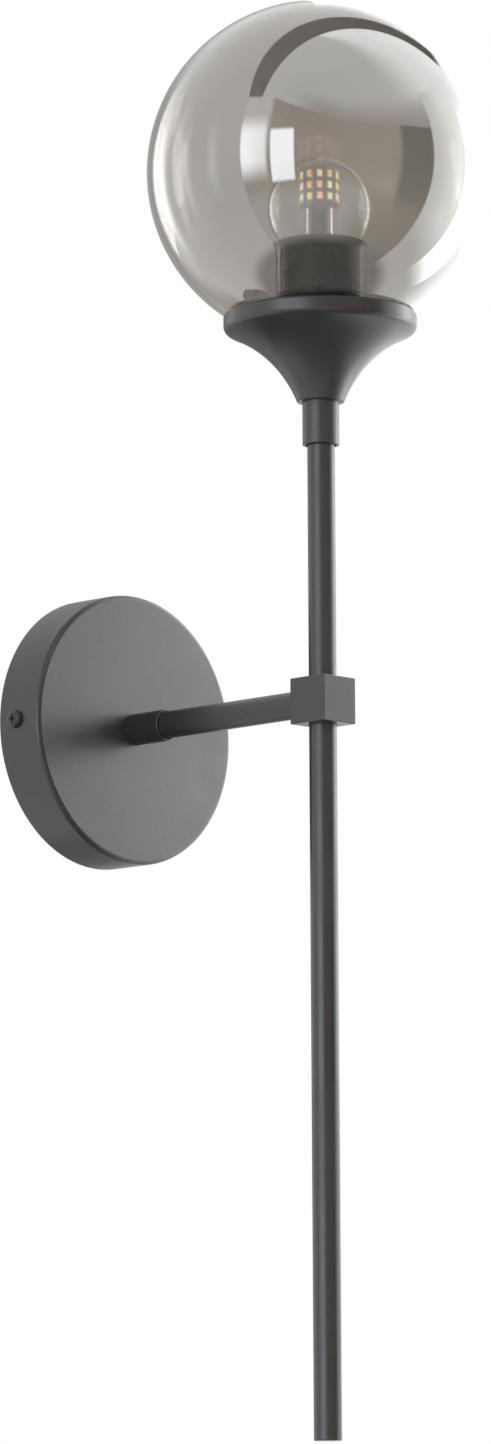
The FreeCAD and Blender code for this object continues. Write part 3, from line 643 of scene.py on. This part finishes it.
def makeBulbEnvelope():
    size = bulbSizes
    middle = size["centre"]
    blend = (size["radius"] / sqrt(2) - size["neck"]) / (1 - 1 / sqrt(2))
    drop = (size["radius"] + blend) / sqrt(2)
    outline = []
    for inward in (size["wall"], 0):
        radius, neck, bend = size["radius"] - inward, size["neck"] - inward, blend + inward
        side = arcPoints(0, middle, radius, 90, -45, 48)
        side += arcPoints(neck + bend, middle - drop, bend, 135, 180, 10)[1:]
        side += [(neck, middle - drop - size["neckLength"])]
        outline += side if inward else side[::-1]
    envelope = turnPiece("bulbEnvelope", outline)
    handOver(envelope, "bulb", "clear_glass", "bulb_glass")


# a flared tube with the pump tube inside it and two lead wires beside that
def makeBulbStem():
    size = stemSizes
    top, bend = size["top"], size["topRound"]
    tube = size["flare"][-1][0]
    outline = []
    for inward in (0, size["wall"]):
        wide = size["footRadius"] - inward
        side = [(wide, size["foot"]), (wide, size["footTop"] - inward)]
        side += [(across - inward, up) for across, up in size["flare"]]
        side += arcPoints(tube - bend, top - bend, bend - inward, 0, 90, 5) + [(0, top - inward)]
        outline += side if inward else side[::-1]
    stem = turnPiece("bulbStem", outline, steps=64)
    pump = ringOutline([(across, 0) for across in size["pump"]], *size["pumpEnds"])
    stem = joinAll("bulbStem", [stem, turnPiece("pumpTube", pump, steps=48)])
    handOver(stem, "bulb", "clear_glass", "bulb_stem")
    x, y = riser[0] / mm, riser[1] / mm
    for name, reach in (("leadLeft", -size["leadReach"]), ("leadRight", size["leadReach"])):
        route = [(x + reach * share, y - reach * share, up) for share, up in size["leadRoute"]]
        lead = wirePiece(name, route, size["leadRadius"])
        handOver(lead, "bulb", "nickel", finish=solder)


makeBulbEnvelope()
makeBulbStem()
print("bulb glass made")


ledSizes = {"radius": 8.3, "foot": 218, "height": 15.4, "wall": 0.7, "edge": 0.15, "columns": 12,
            "rows": 3, "pitch": 4.95, "chip": (0.7, 2.7, 3.4), "chipEdge": 0.12, "frame": 0.24,
            "sink": 0.14, "pad": (0.22, 2, 0.45), "padEdge": 0.06, "scatter": (12.9, 4.7, 437.5)}


def makeLedColumn():
    size = ledSizes
    radius, foot, top = size["radius"], size["foot"], size["foot"] + size["height"]
    inside, edge = radius - size["wall"], size["edge"]
    column = turnPiece("ledBoardColumn", [
        (0, top - size["wall"]), (inside, top - size["wall"]), (inside, foot), (radius, foot),
        (radius, top - edge), (radius - edge, top), (0, top)], steps=72)
    handOver(column, "bulb", "led_board", "led_column")


# a housing with its phosphor sunk into the front, and a solder pad at each end
def makeChip():
    size = ledSizes
    deep, tall = size["chip"][0], size["chip"][2]
    chip = blockPiece("chip", (deep / 2, 0, 0), size["chip"], size["chipEdge"], 1)
    pickFaces(chip, lambda middle, normal: normal.x > 0.9 and middle.x > 0.99 * deep * mm)
    bpy.ops.mesh.inset(thickness=size["frame"] * mm)
    bpy.ops.mesh.extrude_region_move(TRANSFORM_OT_translate={"value": (-size["sink"] * mm, 0, 0)})
    switchTo("OBJECT")
    for finish in (chipHousing, finishOfSlot["led_phosphor"], solder):
        chip.data.materials.append(finish)
    for face in chip.data.polygons:
        face.material_index = 1 if face.select else 0
    pads = []
    thick, _, high = size["pad"]
    for side in (-1, 1):
        middle = (thick / 2, 0, side * (tall + high) / 2)
        pads.append(blockPiece("pad", middle, size["pad"], size["padEdge"], 1))
        pads[-1].data.materials.append(solder)
    return joinAll("chip", [chip] + pads)


def makeChips():
    size = ledSizes
    chip = makeChip()
    middle = size["foot"] + size["height"] / 2
    byColumn, byRow, spread = size["scatter"]
    copies = []
    for column in range(size["columns"]):
        turn = 2 * pi * (column + 0.5) / size["columns"]
        for row in range(size["rows"]):
            level = middle + (row - (size["rows"] - 1) / 2) * size["pitch"]
            move = (Matrix.Translation(placeOn(riser, "Z", 0, level))
                    @ Matrix.Rotation(turn, 4, "Z")
                    @ Matrix.Translation((size["radius"] * mm, 0, 0)))
            twin = copyTo(chip, f"chip.{column}.{row}", move)
            tone = twin.data.attributes.new("chipTone", "FLOAT", "POINT")
            wanted = abs(sin(column * byColumn + row * byRow) * spread) % 1
            tone.data.foreach_set("value", [wanted] * len(twin.data.vertices))
            copies.append(twin)
    discard(chip)
    handOver(joinAll("ledChips", copies), "bulb", "led_phosphor", "led_chips", painted=True)


makeLedColumn()
makeChips()
print("LED column made")


capSizes = {"radius": 13.25, "threadDepth": 1.05, "pitch": 3.62, "threadStart": 168.9, "turns": 3,
            "foot": 165.4, "footEdge": (0.5, 0.4), "taper": 1.6, "hole": 6, "wall": 0.4,
            "collar": 182.4, "collarDrop": 1.2, "collarEdge": (0.2, 0.4), "top": 187.1, "rim": 0.3,
            "neck": 12.65, "seat": 182.6, "seatDrop": 1}
shellSizes = {"crest": 13.5, "root": 13.86, "outer": 14, "pitch": 3.62, "foot": 161,
              "top": 187, "turns": 5, "threadStart": 165.5}


# the lamp's cap: a collar on the glass, a rolled thread and a drawn-in foot
def makeBulbCap():
    size = capSizes
    radius, thick, core = size["radius"], size["wall"], size["radius"] - size["threadDepth"]
    foot, top, taper, hole = size["foot"], size["top"], size["taper"], size["hole"]
    collar, rim, neck, seat = size["collar"], size["rim"], size["neck"], size["seat"]
    footIn, footUp = size["footEdge"]
    collarIn, collarUp = size["collarEdge"]
    body = turnPiece("bulbCap", [
        (hole, foot + thick), (hole, foot), (core - taper, foot), (core - footIn, foot + footUp),
        (core, foot + taper), (core, collar - size["collarDrop"]), (radius - collarIn, collar),
        (radius, collar + collarUp), (radius, top - rim), (radius - rim, top), (neck, top),
        (neck, seat), (core - thick, seat - size["seatDrop"]), (core - thick, foot + taper),
        (core - footIn - thick, foot + footUp + thick), (hole, foot + thick)])
    thread = windRidge("capThread", size["threadStart"], size["turns"], size["pitch"], core,
                       size["threadDepth"])
    handOver(joinAll("bulbCap", [body, thread]), "bulb", "nickel", "bulb_cap")


# the holder's shell: its rolled thread stands inwards, clear of the lamp's crest
def makeScrewShell():
    size = shellSizes
    outer, root = size["outer"], size["root"]
    body = turnPiece("screwShell", ringOutline([(root, 0), (outer, 0)], size["foot"], size["top"]))
    thread = windRidge("shellThread", size["threadStart"], size["turns"], size["pitch"], root,
                       size["crest"] - root)
    handOver(joinAll("screwShell", [body, thread]), "fixture", "brass", "screw_shell")


makeBulbCap()
makeScrewShell()
print("cap and screw shell made")


# each with its node, turning axis and both ends in mm
nipples = {
    "canopyNipple": ("canopy_nipple", plateBack, "Y", 17, 36),
    "armNipple": ("cube_nipple_arm", plateBack, "Y", 116, 132.8),
    "upperNipple": ("cube_nipple_upper", riser, "Z", 5.2, 22),
    "lowerNipple": ("cube_nipple_lower", riser, "Z", -22, -5.2),
    "cupNipple": ("cup_nipple", riser, "Z", 117, 143.5),
}
nippleSizes = {"radius": 4.95, "bore": 3.9, "pitch": 1, "depth": 0.55, "chamfer": 0.25,
               "edge": 0.05, "bare": 1.2}
nuts = {"plateNut": ("canopy_nut", plateBack, "Y", 18.5, 22),
        "cupNut": ("cup_nut", riser, "Z", 134, 137.5)}
nutSizes = {"across": 14, "bore": 4.95, "chamfer": 0.55, "slope": 30, "cornerDrop": 0.35,
            "inset": 0.1}
washerSizes = {"bore": 5.2, "ring": 6.8, "reach": 8.5, "start": 22.05, "end": 22.75, "teeth": 12}


def makeNipples():
    size = nippleSizes
    core, bore, chamfer = size["radius"] - size["depth"], size["bore"], size["chamfer"]
    edge, pitch = size["edge"], size["pitch"]
    points = [(bore, chamfer), (bore + chamfer, 0), (core - edge, 0), (core, edge)]
    for name, (node, home, along, start, end) in nipples.items():
        tube = turnPiece(name, ringOutline(points, start, end), home, along, steps=48)
        turns = int((end - start - size["bare"]) / pitch)
        first = start + (end - start - turns * pitch) / 2
        thread = windRidge(name + "Thread", first, turns, pitch, core, size["depth"], home, along,
                           steps=36, kind="sharp")
        handOver(joinAll(name, [tube, thread]), "fixture", "zinc_steel", node, angle=25)


# a turned and chamfered disc whose six flats are then cut
def makeNuts():
    size = nutSizes
    half, bore, chamfer = size["across"] / 2, size["bore"], size["chamfer"]
    corner = size["across"] / sqrt(3)
    rise = chamfer * tan(radians(size["slope"])) + size["cornerDrop"]
    points = [(bore, chamfer), (bore + chamfer, 0), (half - size["inset"], 0), (corner, rise)]
    for name, (node, home, along, start, end) in nuts.items():
        nut = turnPiece(name, ringOutline(points, start, end), home, along)
        middle = placeOn(home, along, 0, (start + end) / 2)
        for flat in range(6):
            turn = Matrix.Rotation(radians(60 * flat + 30), 3, Vector(turningAxes[along]))
            outward = turn @ Vector((1, 0, 0))
            openUp(nut)
            bpy.ops.mesh.bisect(plane_co=middle + outward * half * mm, plane_no=outward,
                                use_fill=True, clear_outer=True)
        closeUp(nut)
        handOver(nut, "fixture", "zinc_steel", node, angle=25)


# a ring with every third outer face drawn out into a tooth
def makeToothedWasher():
    size = washerSizes
    steps = 3 * size["teeth"]
    outline = ringOutline([(size["bore"], 0), (size["ring"], 0)], size["start"], size["end"])
    washer = turnPiece("plateToothWasher", outline, plateBack, "Y", steps=steps)
    almostRing = 0.98 * size["ring"] * mm        # the faces' middles lie just inside the ring

    def isTooth(middle, normal):
        flat = Vector((middle.x, middle.z))
        number = int(flat.angle_signed(Vector((1, 0))) / (2 * pi) * steps + steps) % 3
        return flat.length > almostRing and abs(normal.y) < 0.1 and number == 1

    pickFaces(washer, isTooth)
    bpy.ops.mesh.extrude_faces_move(
        TRANSFORM_OT_shrink_fatten={"value": (size["reach"] - size["ring"]) * mm})
    closeUp(washer)
    handOver(washer, "fixture", "zinc_steel", "canopy_washer", angle=25)


makeNipples()
makeNuts()
makeToothedWasher()
print("nipples, nuts and washer made")


# crown: the arc's middle across and up, its radius and its ends
screwSizes = {"depth": 10, "seat": 60, "headRadius": 4, "headHeight": 2.4, "headEdge": 0.1,
              "crown": (1.645, 0.065, 2.48, 18.2, 70.3), "overlap": 0.3, "shank": 1.98,
              "length": 8, "point": 0.5, "threadDepth": 0.42, "pitch": 0.7, "threadFoot": 0.6,
              "bare": 1.6, "recess": 4.3, "recessWidth": 1.05, "recessDepth": 1.5,
              "recessTaper": 0.42, "recessOver": 0.5}


def makeRecessCutter():
    size = screwSizes
    top = size["seat"] + size["headHeight"]
    deep, over, taper = size["recessDepth"], size["recessOver"], size["recessTaper"]
    arms = (size["recess"], size["recessWidth"])
    blades = []
    for sides in (arms, arms[::-1]):
        blade = blockPiece("recess", (top + (over - deep) / 2, -size["depth"], 0),
                           (deep + over, *sides))
        pickFaces(blade, lambda middle, normal: normal.x < -0.9)
        bpy.ops.transform.resize(value=(1, taper, taper), center_override=(
            (top - deep) * mm, -size["depth"] * mm, 0))
        switchTo("OBJECT")
        blades.append(blade)
    combine(*blades, operation="UNION")
    return blades[0]


# one pan head screw with a tapered cross recess, and its turned copy
def makeSideScrews():
    size = screwSizes
    home = (0, -size["depth"] * mm, 0)
    seat, radius, edge = size["seat"], size["headRadius"], size["headEdge"]
    across, rise, crown, low, high = size["crown"]
    head = turnPiece("sideScrews", [(0, seat), (radius - edge, seat), (radius, seat + edge)]
                     + arcPoints(across, seat + rise, crown, low, high, 7)
                     + [(0, seat + size["headHeight"])], home, "X", steps=64)
    combine(head, makeRecessCutter())
    core, end = size["shank"] - size["threadDepth"], seat - size["length"]
    root, point = seat + size["overlap"], size["point"]
    shank = turnPiece("shank", [(0, root), (core, root), (core, end + point), (core - point, end),
                                (0, end)], home, "X", steps=40)
    turns = int((size["length"] - size["bare"]) / size["pitch"])
    thread = windRidge("screwThread", end + size["threadFoot"], turns, size["pitch"], core,
                       size["threadDepth"], home, "X", steps=32, kind="sharp")
    screw = joinAll("sideScrews", [head, shank, thread])
    turned = (Matrix.Translation(home) @ Matrix.Rotation(pi, 4, "Z")
              @ Matrix.Translation(-Vector(home)))
    pair = joinAll("sideScrews", [screw, copyTo(screw, "sideScrewLeft", turned)])
    handOver(pair, "fixture", "black_screw", "canopy_side_screws", angle=30)


makeSideScrews()
print("side screws made")


# depths are mm out from the plate's back; over is how far cutters reach past
blockSizes = {"width": 28, "height": 16, "back": 1.5, "front": 14.5, "level": 21,
              "shoulder": 12.9, "edge": 0.5, "ways": (-9, 0, 9), "axis": 8, "way": 2.55,
              "clamps": (-4, 4), "shaft": 1.5, "shaftFloor": 7.87, "collar": 2.6,
              "collarEdge": 0.3, "grooves": (-4.5, 4.5), "groove": 1.2, "grooveFloor": 7.5,
              "fixing": (4.5, 1.6), "sinkRadius": 2.25, "sinkFloor": 11.4, "over": 1,
              "weld": 0.0005}


def rodPiece(name, home, along, radius, start, end):
    return turnPiece(name, [(0, start), (radius, start), (radius, end), (0, end)], home, along, 32)


# three ways, each with a raised collar round its two clamp screws
def makeTerminalBlock():
    size = blockSizes
    level, front, shoulder, over = size["level"], size["front"], size["shoulder"], size["over"]
    deep, tall = shoulder - size["back"], size["height"]
    block = blockPiece("terminalBlock", (0, -size["back"] - deep / 2, level),
                       (size["width"], deep, tall), size["edge"])
    collar, edge = size["collar"], size["collarEdge"]
    ring = [(0, shoulder - over), (collar + edge, shoulder - over), (collar + edge, shoulder),
            (collar, shoulder + edge), (collar, front - edge), (collar - edge, front), (0, front)]
    cutters = []
    for way in size["ways"]:
        cutters.append(rodPiece("way", (way * mm, -size["axis"] * mm, 0), "Z", size["way"],
                                level - tall, level + tall))
        for clamp in size["clamps"]:
            home = (way * mm, 0, (level + clamp) * mm)
            combine(block, turnPiece("collar", ring, home, "Y", 32), "UNION")
            cutters.append(rodPiece("shaft", home, "Y", size["shaft"], size["shaftFloor"],
                                    front + over))
    floor, reach = size["grooveFloor"], front + 2 * over
    for groove in size["grooves"]:
        cutters.append(blockPiece("groove", (groove, -(floor + reach) / 2, level),
                                  (size["groove"], reach - floor, tall + 2 * over)))
    across, hole = size["fixing"]
    home = (across * mm, 0, level * mm)
    cutters.append(rodPiece("fixing", home, "Y", hole, 0, front))
    cutters.append(rodPiece("sink", home, "Y", size["sinkRadius"], size["sinkFloor"], front + over))
    for cutter in cutters:
        combine(block, cutter)
        openUp(block)        # slivers are welded before the next cut
        bpy.ops.mesh.remove_doubles(threshold=size["weld"] * mm)
        bpy.ops.mesh.quads_convert_to_tris()
    closeUp(block)
    handOver(block, "fixture", "white_plastic", "terminal_block", angle=30)


makeTerminalBlock()
print("terminal block made")


# routes in mm from the plate's middle; feed is mirrored at the left
wireSizes = {
    "radius": 0.9, "copper": 0.55,
    "feed": ((9, -8, 17), (9, -8, 11), (7.2, -8.6, 5.5), (3.2, -11, 1.4), (1.4, -16, 0.7),
             (1.4, -24, 0.7), (1.4, -70, 0.7), (1.4, -120, 0.7), (1.4, -132, 0.7),
             (1.4, -137.3, 0.7), (1.4, -137.3, 6), (1.4, -137.3, 20), (1.4, -137.3, 70),
             (1.4, -137.3, 130), (1.4, -137.3, 139), (2.4, -137.6, 143.4), (4.5, -138, 147.5),
             (4.5, -138, 150), (4.5, -138, 155)),
    "feedBare": (((9, -8, 15), (9, -8, 17), (9, -8, 22)),
                 ((4.5, -138, 153), (4.5, -138, 154), (4.5, -138, 155.6))),
    "earth": ((0, -8, 17), (0, -8, 11), (-2, -8, 6), (-9, -8, 2.4), (-14.4, -8, -1), (-16, -8, -6),
              (-16, -7.6, -12), (-14.6, -6.4, -17.6), (-10.5, -4.6, -20.6), (-5.2, -3.6, -22)),
    "earthBare": (((0, -8, 15), (0, -8, 17), (0, -8, 22)),),
}
# node, slot, route and side
wires = {
    "liveWire": ("live_wire", "brown_insulation", "feed", -1),
    "neutralWire": ("neutral_wire", "blue_insulation", "feed", 1),
    "earthWire": ("earth_wire", "green_insulation", "earth", 1),
}


# each wire is bare where it is clamped
def makeWires():
    size = wireSizes

    def draw(name, route, side, radius):
        return wirePiece(name, [(side * x, y, z) for x, y, z in route], radius)

    for name, (node, slotName, route, side) in wires.items():
        wire = draw(name, size[route], side, size["radius"])
        ends = [draw(name + "Core", bare, side, size["copper"]) for bare in size[route + "Bare"]]
        handOver(wire, "fixture", slotName, node)
        handOver(joinAll(name + "Core", ends), "fixture", "brass", finish=copper)


makeWires()
print("wires made")


# the floor turns white between the two distances of clear
floorSizes = {"height": -1.2, "reach": 12, "tone": (0.82, 0.82, 0.82), "roughness": 0.9,
              "clear": (0.8, 3)}


def makeFloor():
    size = floorSizes
    deselectAll()
    bpy.ops.mesh.primitive_plane_add(size=2 * size["reach"], location=(0, 0, size["height"]))
    floor = newest("studioFloor")
    settle(floor)
    finish, tree, shader, place = newFinish("paleFloor")
    feed(tree, shader.inputs, {"Roughness": size["roughness"], "Base Color": size["tone"]})
    reach = addNode(tree, "VectorMath", {0: place, 1: (0, 0, -size["height"])},
                    operation="ADD").outputs[0]
    away = addNode(tree, "VectorMath", {0: reach}, operation="LENGTH").outputs[1]
    white = addNode(tree, "Emission")
    path = addNode(tree, "LightPath").outputs
    seen = calculate(tree, "MAXIMUM", path["Is Camera Ray"], path["Is Transmission Ray"])
    far = fade(tree, away, *size["clear"])
    blendShaders(tree, times(tree, far, seen), shader, white)
    floor.data.materials.append(finish)
    floor.visible_glossy = False


# turns are degrees round the object from the camera, to its right; heights are degrees up;
# a Fade, Rise or Fall is two levels and what they give
studioLook = {
    "surround": (1, 0.99, 0.97), "frontEnds": (-54, 81.5), "soft": 24,
    "folds": ((-131, 8, 2.1), (-101, 7, 1.45), (-76, 7, 1.3)), "foldHeights": (-12, 18),
    "side": (2.1, 2.1, 2.1), "sideStart": (80.25, 81.75), "sideFade": (81, 104, 0.45, 1),
    "sideEndFade": (160, 178, 1, 0.5), "sideHeights": (-30, 44),
    "back": (0.42, 0.41, 0.4), "backFade": (-155, -138, 1, 0), "backFall": (20, 40, 1, 0),
    "front": (0.58, 0.49, 0.41), "frontDark": (0.06, 0.045, 0.035), "darkFade": (53, 59),
    "frontLeft": (1.2, 1.17, 1.13), "leftFade": (-36, -32, 1, 0), "leftRise": (-8, 16),
    "lowFront": (0.8, 0.77, 0.73), "lowFall": (-30, -14, 1, 0),
    "lowRight": (0.3, 0.25, 0.2), "lowRightFade": (10, 50),
    "glow": (3.3, 3.3, 3.4), "glowFade": (-51, -36, 1, 0.75), "glowEnd": (-37.5, -34.5, 1, 0),
    "glowRise": (-18, 0), "glowFall": (14, 28, 1, 0),
    "panel": (3.3, 3.3, 3.4), "panelEnds": (-33, -17.2), "panelHeights": (-17, 16.5),
    "panelSoft": 3, "foot": (0.16, 0.15, 0.14), "footFall": (-62, -52, 1, 0),
    "overhead": (1.15, 1.15, 1.13), "overheadLow": 20, "overheadSlope": -0.33,
    "overheadTurn": 19, "overheadEdge": (-0.75, 0.75), "overheadRise": (37, 39),
    "dimmed": (0.62, 0.58, 0.54), "dimFall": (0, 18, 1, 0), "dimFade": (-25, 5),
    "bright": (2, 2, 2), "brightFade": (52.5, 97.5), "brightRise": (30, 40),
    "flag": (0.01, 0.01, 0.01), "flagLean": 0.245, "flagEdge": (-0.01, 0.01, 1, 0),
    "flagRise": (36.5, 39.5), "ahead": (-0.005, 0.005, 1, 0), "behind": (-0.005, 0.005),
    "strip": (9, 9, 9), "strips": ((108, 118), (134, 150)), "stripSoft": 4,
    "stripHeights": (-28, 24), "throughSides": (3, 3, 3),
    "throughFade": (125, 145, 1, 0), "throughFall": (30, 60, 1, 0),
}


# white where it is seen; where it lights or is reflected, a studio with a dim front
def makeStudioLight():
    look = studioLook
    soft = look["soft"]
    world = bpy.context.scene.world = bpy.data.worlds.new("studioWorld")
    world.use_nodes = True
    tree = world.node_tree
    tree.nodes.clear()
    way = addNode(tree, "TexCoord").outputs["Generated"]
    azimuth = radians(cameraPlace["azimuth"])

    def work(operation, *terms):
        return calculate(tree, operation, *terms)

    def along(direction):
        return addNode(tree, "VectorMath", {0: way, 1: direction},
                       operation="DOT_PRODUCT").outputs["Value"]

    def mask(value, name):
        return fade(tree, value, *look[name])

    def within(value, ends, soft=1.5):
        start, end = ends
        return times(tree, fade(tree, value, start - soft / 2, start + soft / 2),
                     fade(tree, value, end - soft / 2, end + soft / 2, 1, 0))

    def cover(under, name, *masks):
        return mix(tree, times(tree, *masks), under, look[name])

    turn = work("DEGREES", work("ARCTAN2", along((cos(azimuth), sin(azimuth), 0)),
                                along((sin(azimuth), -cos(azimuth), 0))))
    upward = along((0, 0, 1))
    height = work("DEGREES", work("ARCSINE", upward))
    aside = work("ABSOLUTE", turn)
    towardBack = along((0, 1, 0))
    inFront = within(turn, look["frontEnds"])

    # round the object: white, with bright folds at its left and a bright side at its right
    colour = look["surround"]
    for middle, width, bright in look["folds"]:
        offset = work("ABSOLUTE", work("SUBTRACT", turn, middle))
        fold = times(tree, fade(tree, offset, 0, width, 1, 0),
                     within(height, look["foldHeights"], soft))
        colour = mix(tree, fold, colour, (bright, bright, bright))
    colour = cover(colour, "side", mask(turn, "sideFade"), mask(turn, "sideStart"),
                   mask(turn, "sideEndFade"), within(height, look["sideHeights"], soft))
    colour = cover(colour, "back", mask(turn, "backFade"), mask(height, "backFall"))

    # in front: a dim side with a bright panel and a soft glow beside it
    upright = cover(look["front"], "frontDark", mask(turn, "darkFade"))
    upright = cover(upright, "frontLeft", mask(turn, "leftFade"), mask(height, "leftRise"))
    lying = cover(look["lowFront"], "lowRight", mask(turn, "lowRightFade"))
    front = mix(tree, mask(height, "lowFall"), upright, lying)
    front = cover(front, "glow", mask(turn, "glowFade"), mask(turn, "glowEnd"),
                  mask(height, "glowRise"), mask(height, "glowFall"))
    front = cover(front, "panel", within(turn, look["panelEnds"]),
                  within(height, look["panelHeights"], look["panelSoft"]))
    colour = mix(tree, inFront, colour, front)
    colour = cover(colour, "foot", mask(height, "footFall"))

    # overhead: a pale field that runs up to a dark flag across the top
    slope = work("MULTIPLY_ADD", work("SUBTRACT", turn, look["overheadTurn"]),
                 look["overheadSlope"], look["overheadLow"])
    overEdge = work("SUBTRACT", height, work("MAXIMUM", slope, look["overheadLow"]))
    overhead = cover(look["overhead"], "dimmed", mask(overEdge, "dimFall"), mask(turn, "dimFade"))
    overhead = cover(overhead, "bright", mask(turn, "brightFade"), mask(height, "brightRise"))
    field = times(tree, mask(overEdge, "overheadEdge"), mask(towardBack, "ahead"),
                  work("MAXIMUM", inFront, mask(height, "overheadRise")))
    colour = mix(tree, field, colour, overhead)
    behindFlag = work("SUBTRACT", towardBack, work("MULTIPLY", upward, look["flagLean"]))
    colour = cover(colour, "flag", mask(towardBack, "behind"), mask(behindFlag, "flagEdge"),
                   mask(height, "flagRise"))

    # what lies inside the shade also catches two bright strips at each side
    path = addNode(tree, "LightPath").outputs
    reflected = work("GREATER_THAN", path["Glossy Depth"], 0.5)
    strips = [within(aside, ends, look["stripSoft"]) for ends in look["strips"]]
    colour = cover(colour, "strip", work("MAXIMUM", *strips),
                   within(height, look["stripHeights"], soft), reflected,
                   work("GREATER_THAN", path["Transmission Depth"], 1.5))

    # white where it is seen, brighter through glass at the sides
    seen = work("MAXIMUM", path["Is Camera Ray"], path["Is Transmission Ray"])
    plain = work("MULTIPLY", seen, work("SUBTRACT", 1, reflected))
    through = cover((1, 1, 1), "throughSides", mask(aside, "throughFade"),
                    mask(work("ABSOLUTE", height), "throughFall"), path["Is Transmission Ray"])
    shown = mix(tree, plain, colour, through)
    background = addNode(tree, "Background", {"Color": shown})
    addNode(tree, "OutputWorld", {"Surface": background.outputs[0]})


# edge is the share of its height that fades at each end
softbox = {"near": (0.361, -0.35), "far": (0.4975, -0.19), "middle": 0.14, "tall": 0.72,
           "radiance": 3.4, "edge": 0.35}


def hangSoftbox():
    tall, edge = softbox["tall"], softbox["edge"]
    near, far = (Vector((*softbox[end], softbox["middle"])) for end in ("near", "far"))
    inward = Vector((0, 0, 1)).cross((far - near).normalized())
    if inward.dot(near) > 0:
        inward.negate()
    wide = (far - near).length
    deselectAll()
    bpy.ops.object.light_add(type="AREA", location=(near + far) / 2)
    lamp = newest("sideSoftbox")
    lamp.rotation_euler = inward.to_track_quat("-Z", "Y").to_euler()
    lamp.data.shape = "RECTANGLE"
    lamp.data.size, lamp.data.size_y = wide, tall
    lamp.data.energy = softbox["radiance"] * pi * wide * tall
    lamp.data.use_nodes = True
    tree = lamp.data.node_tree
    spread = addNode(tree, "NewGeometry").outputs["Parametric"]
    upward = addNode(tree, "SeparateXYZ", {"Vector": spread}).outputs["Y"]
    strength = times(tree, fade(tree, upward, 0, edge), fade(tree, upward, 1 - edge, 1, 1, 0))
    feed(tree, tree.nodes["Emission"].inputs, {"Strength": strength})
    lamp.visible_camera = False
    lamp.visible_transmission = False


makeFloor()
makeStudioLight()
hangSoftbox()
bpy.context.scene.view_settings.view_transform = "Standard"
print("studio lit")
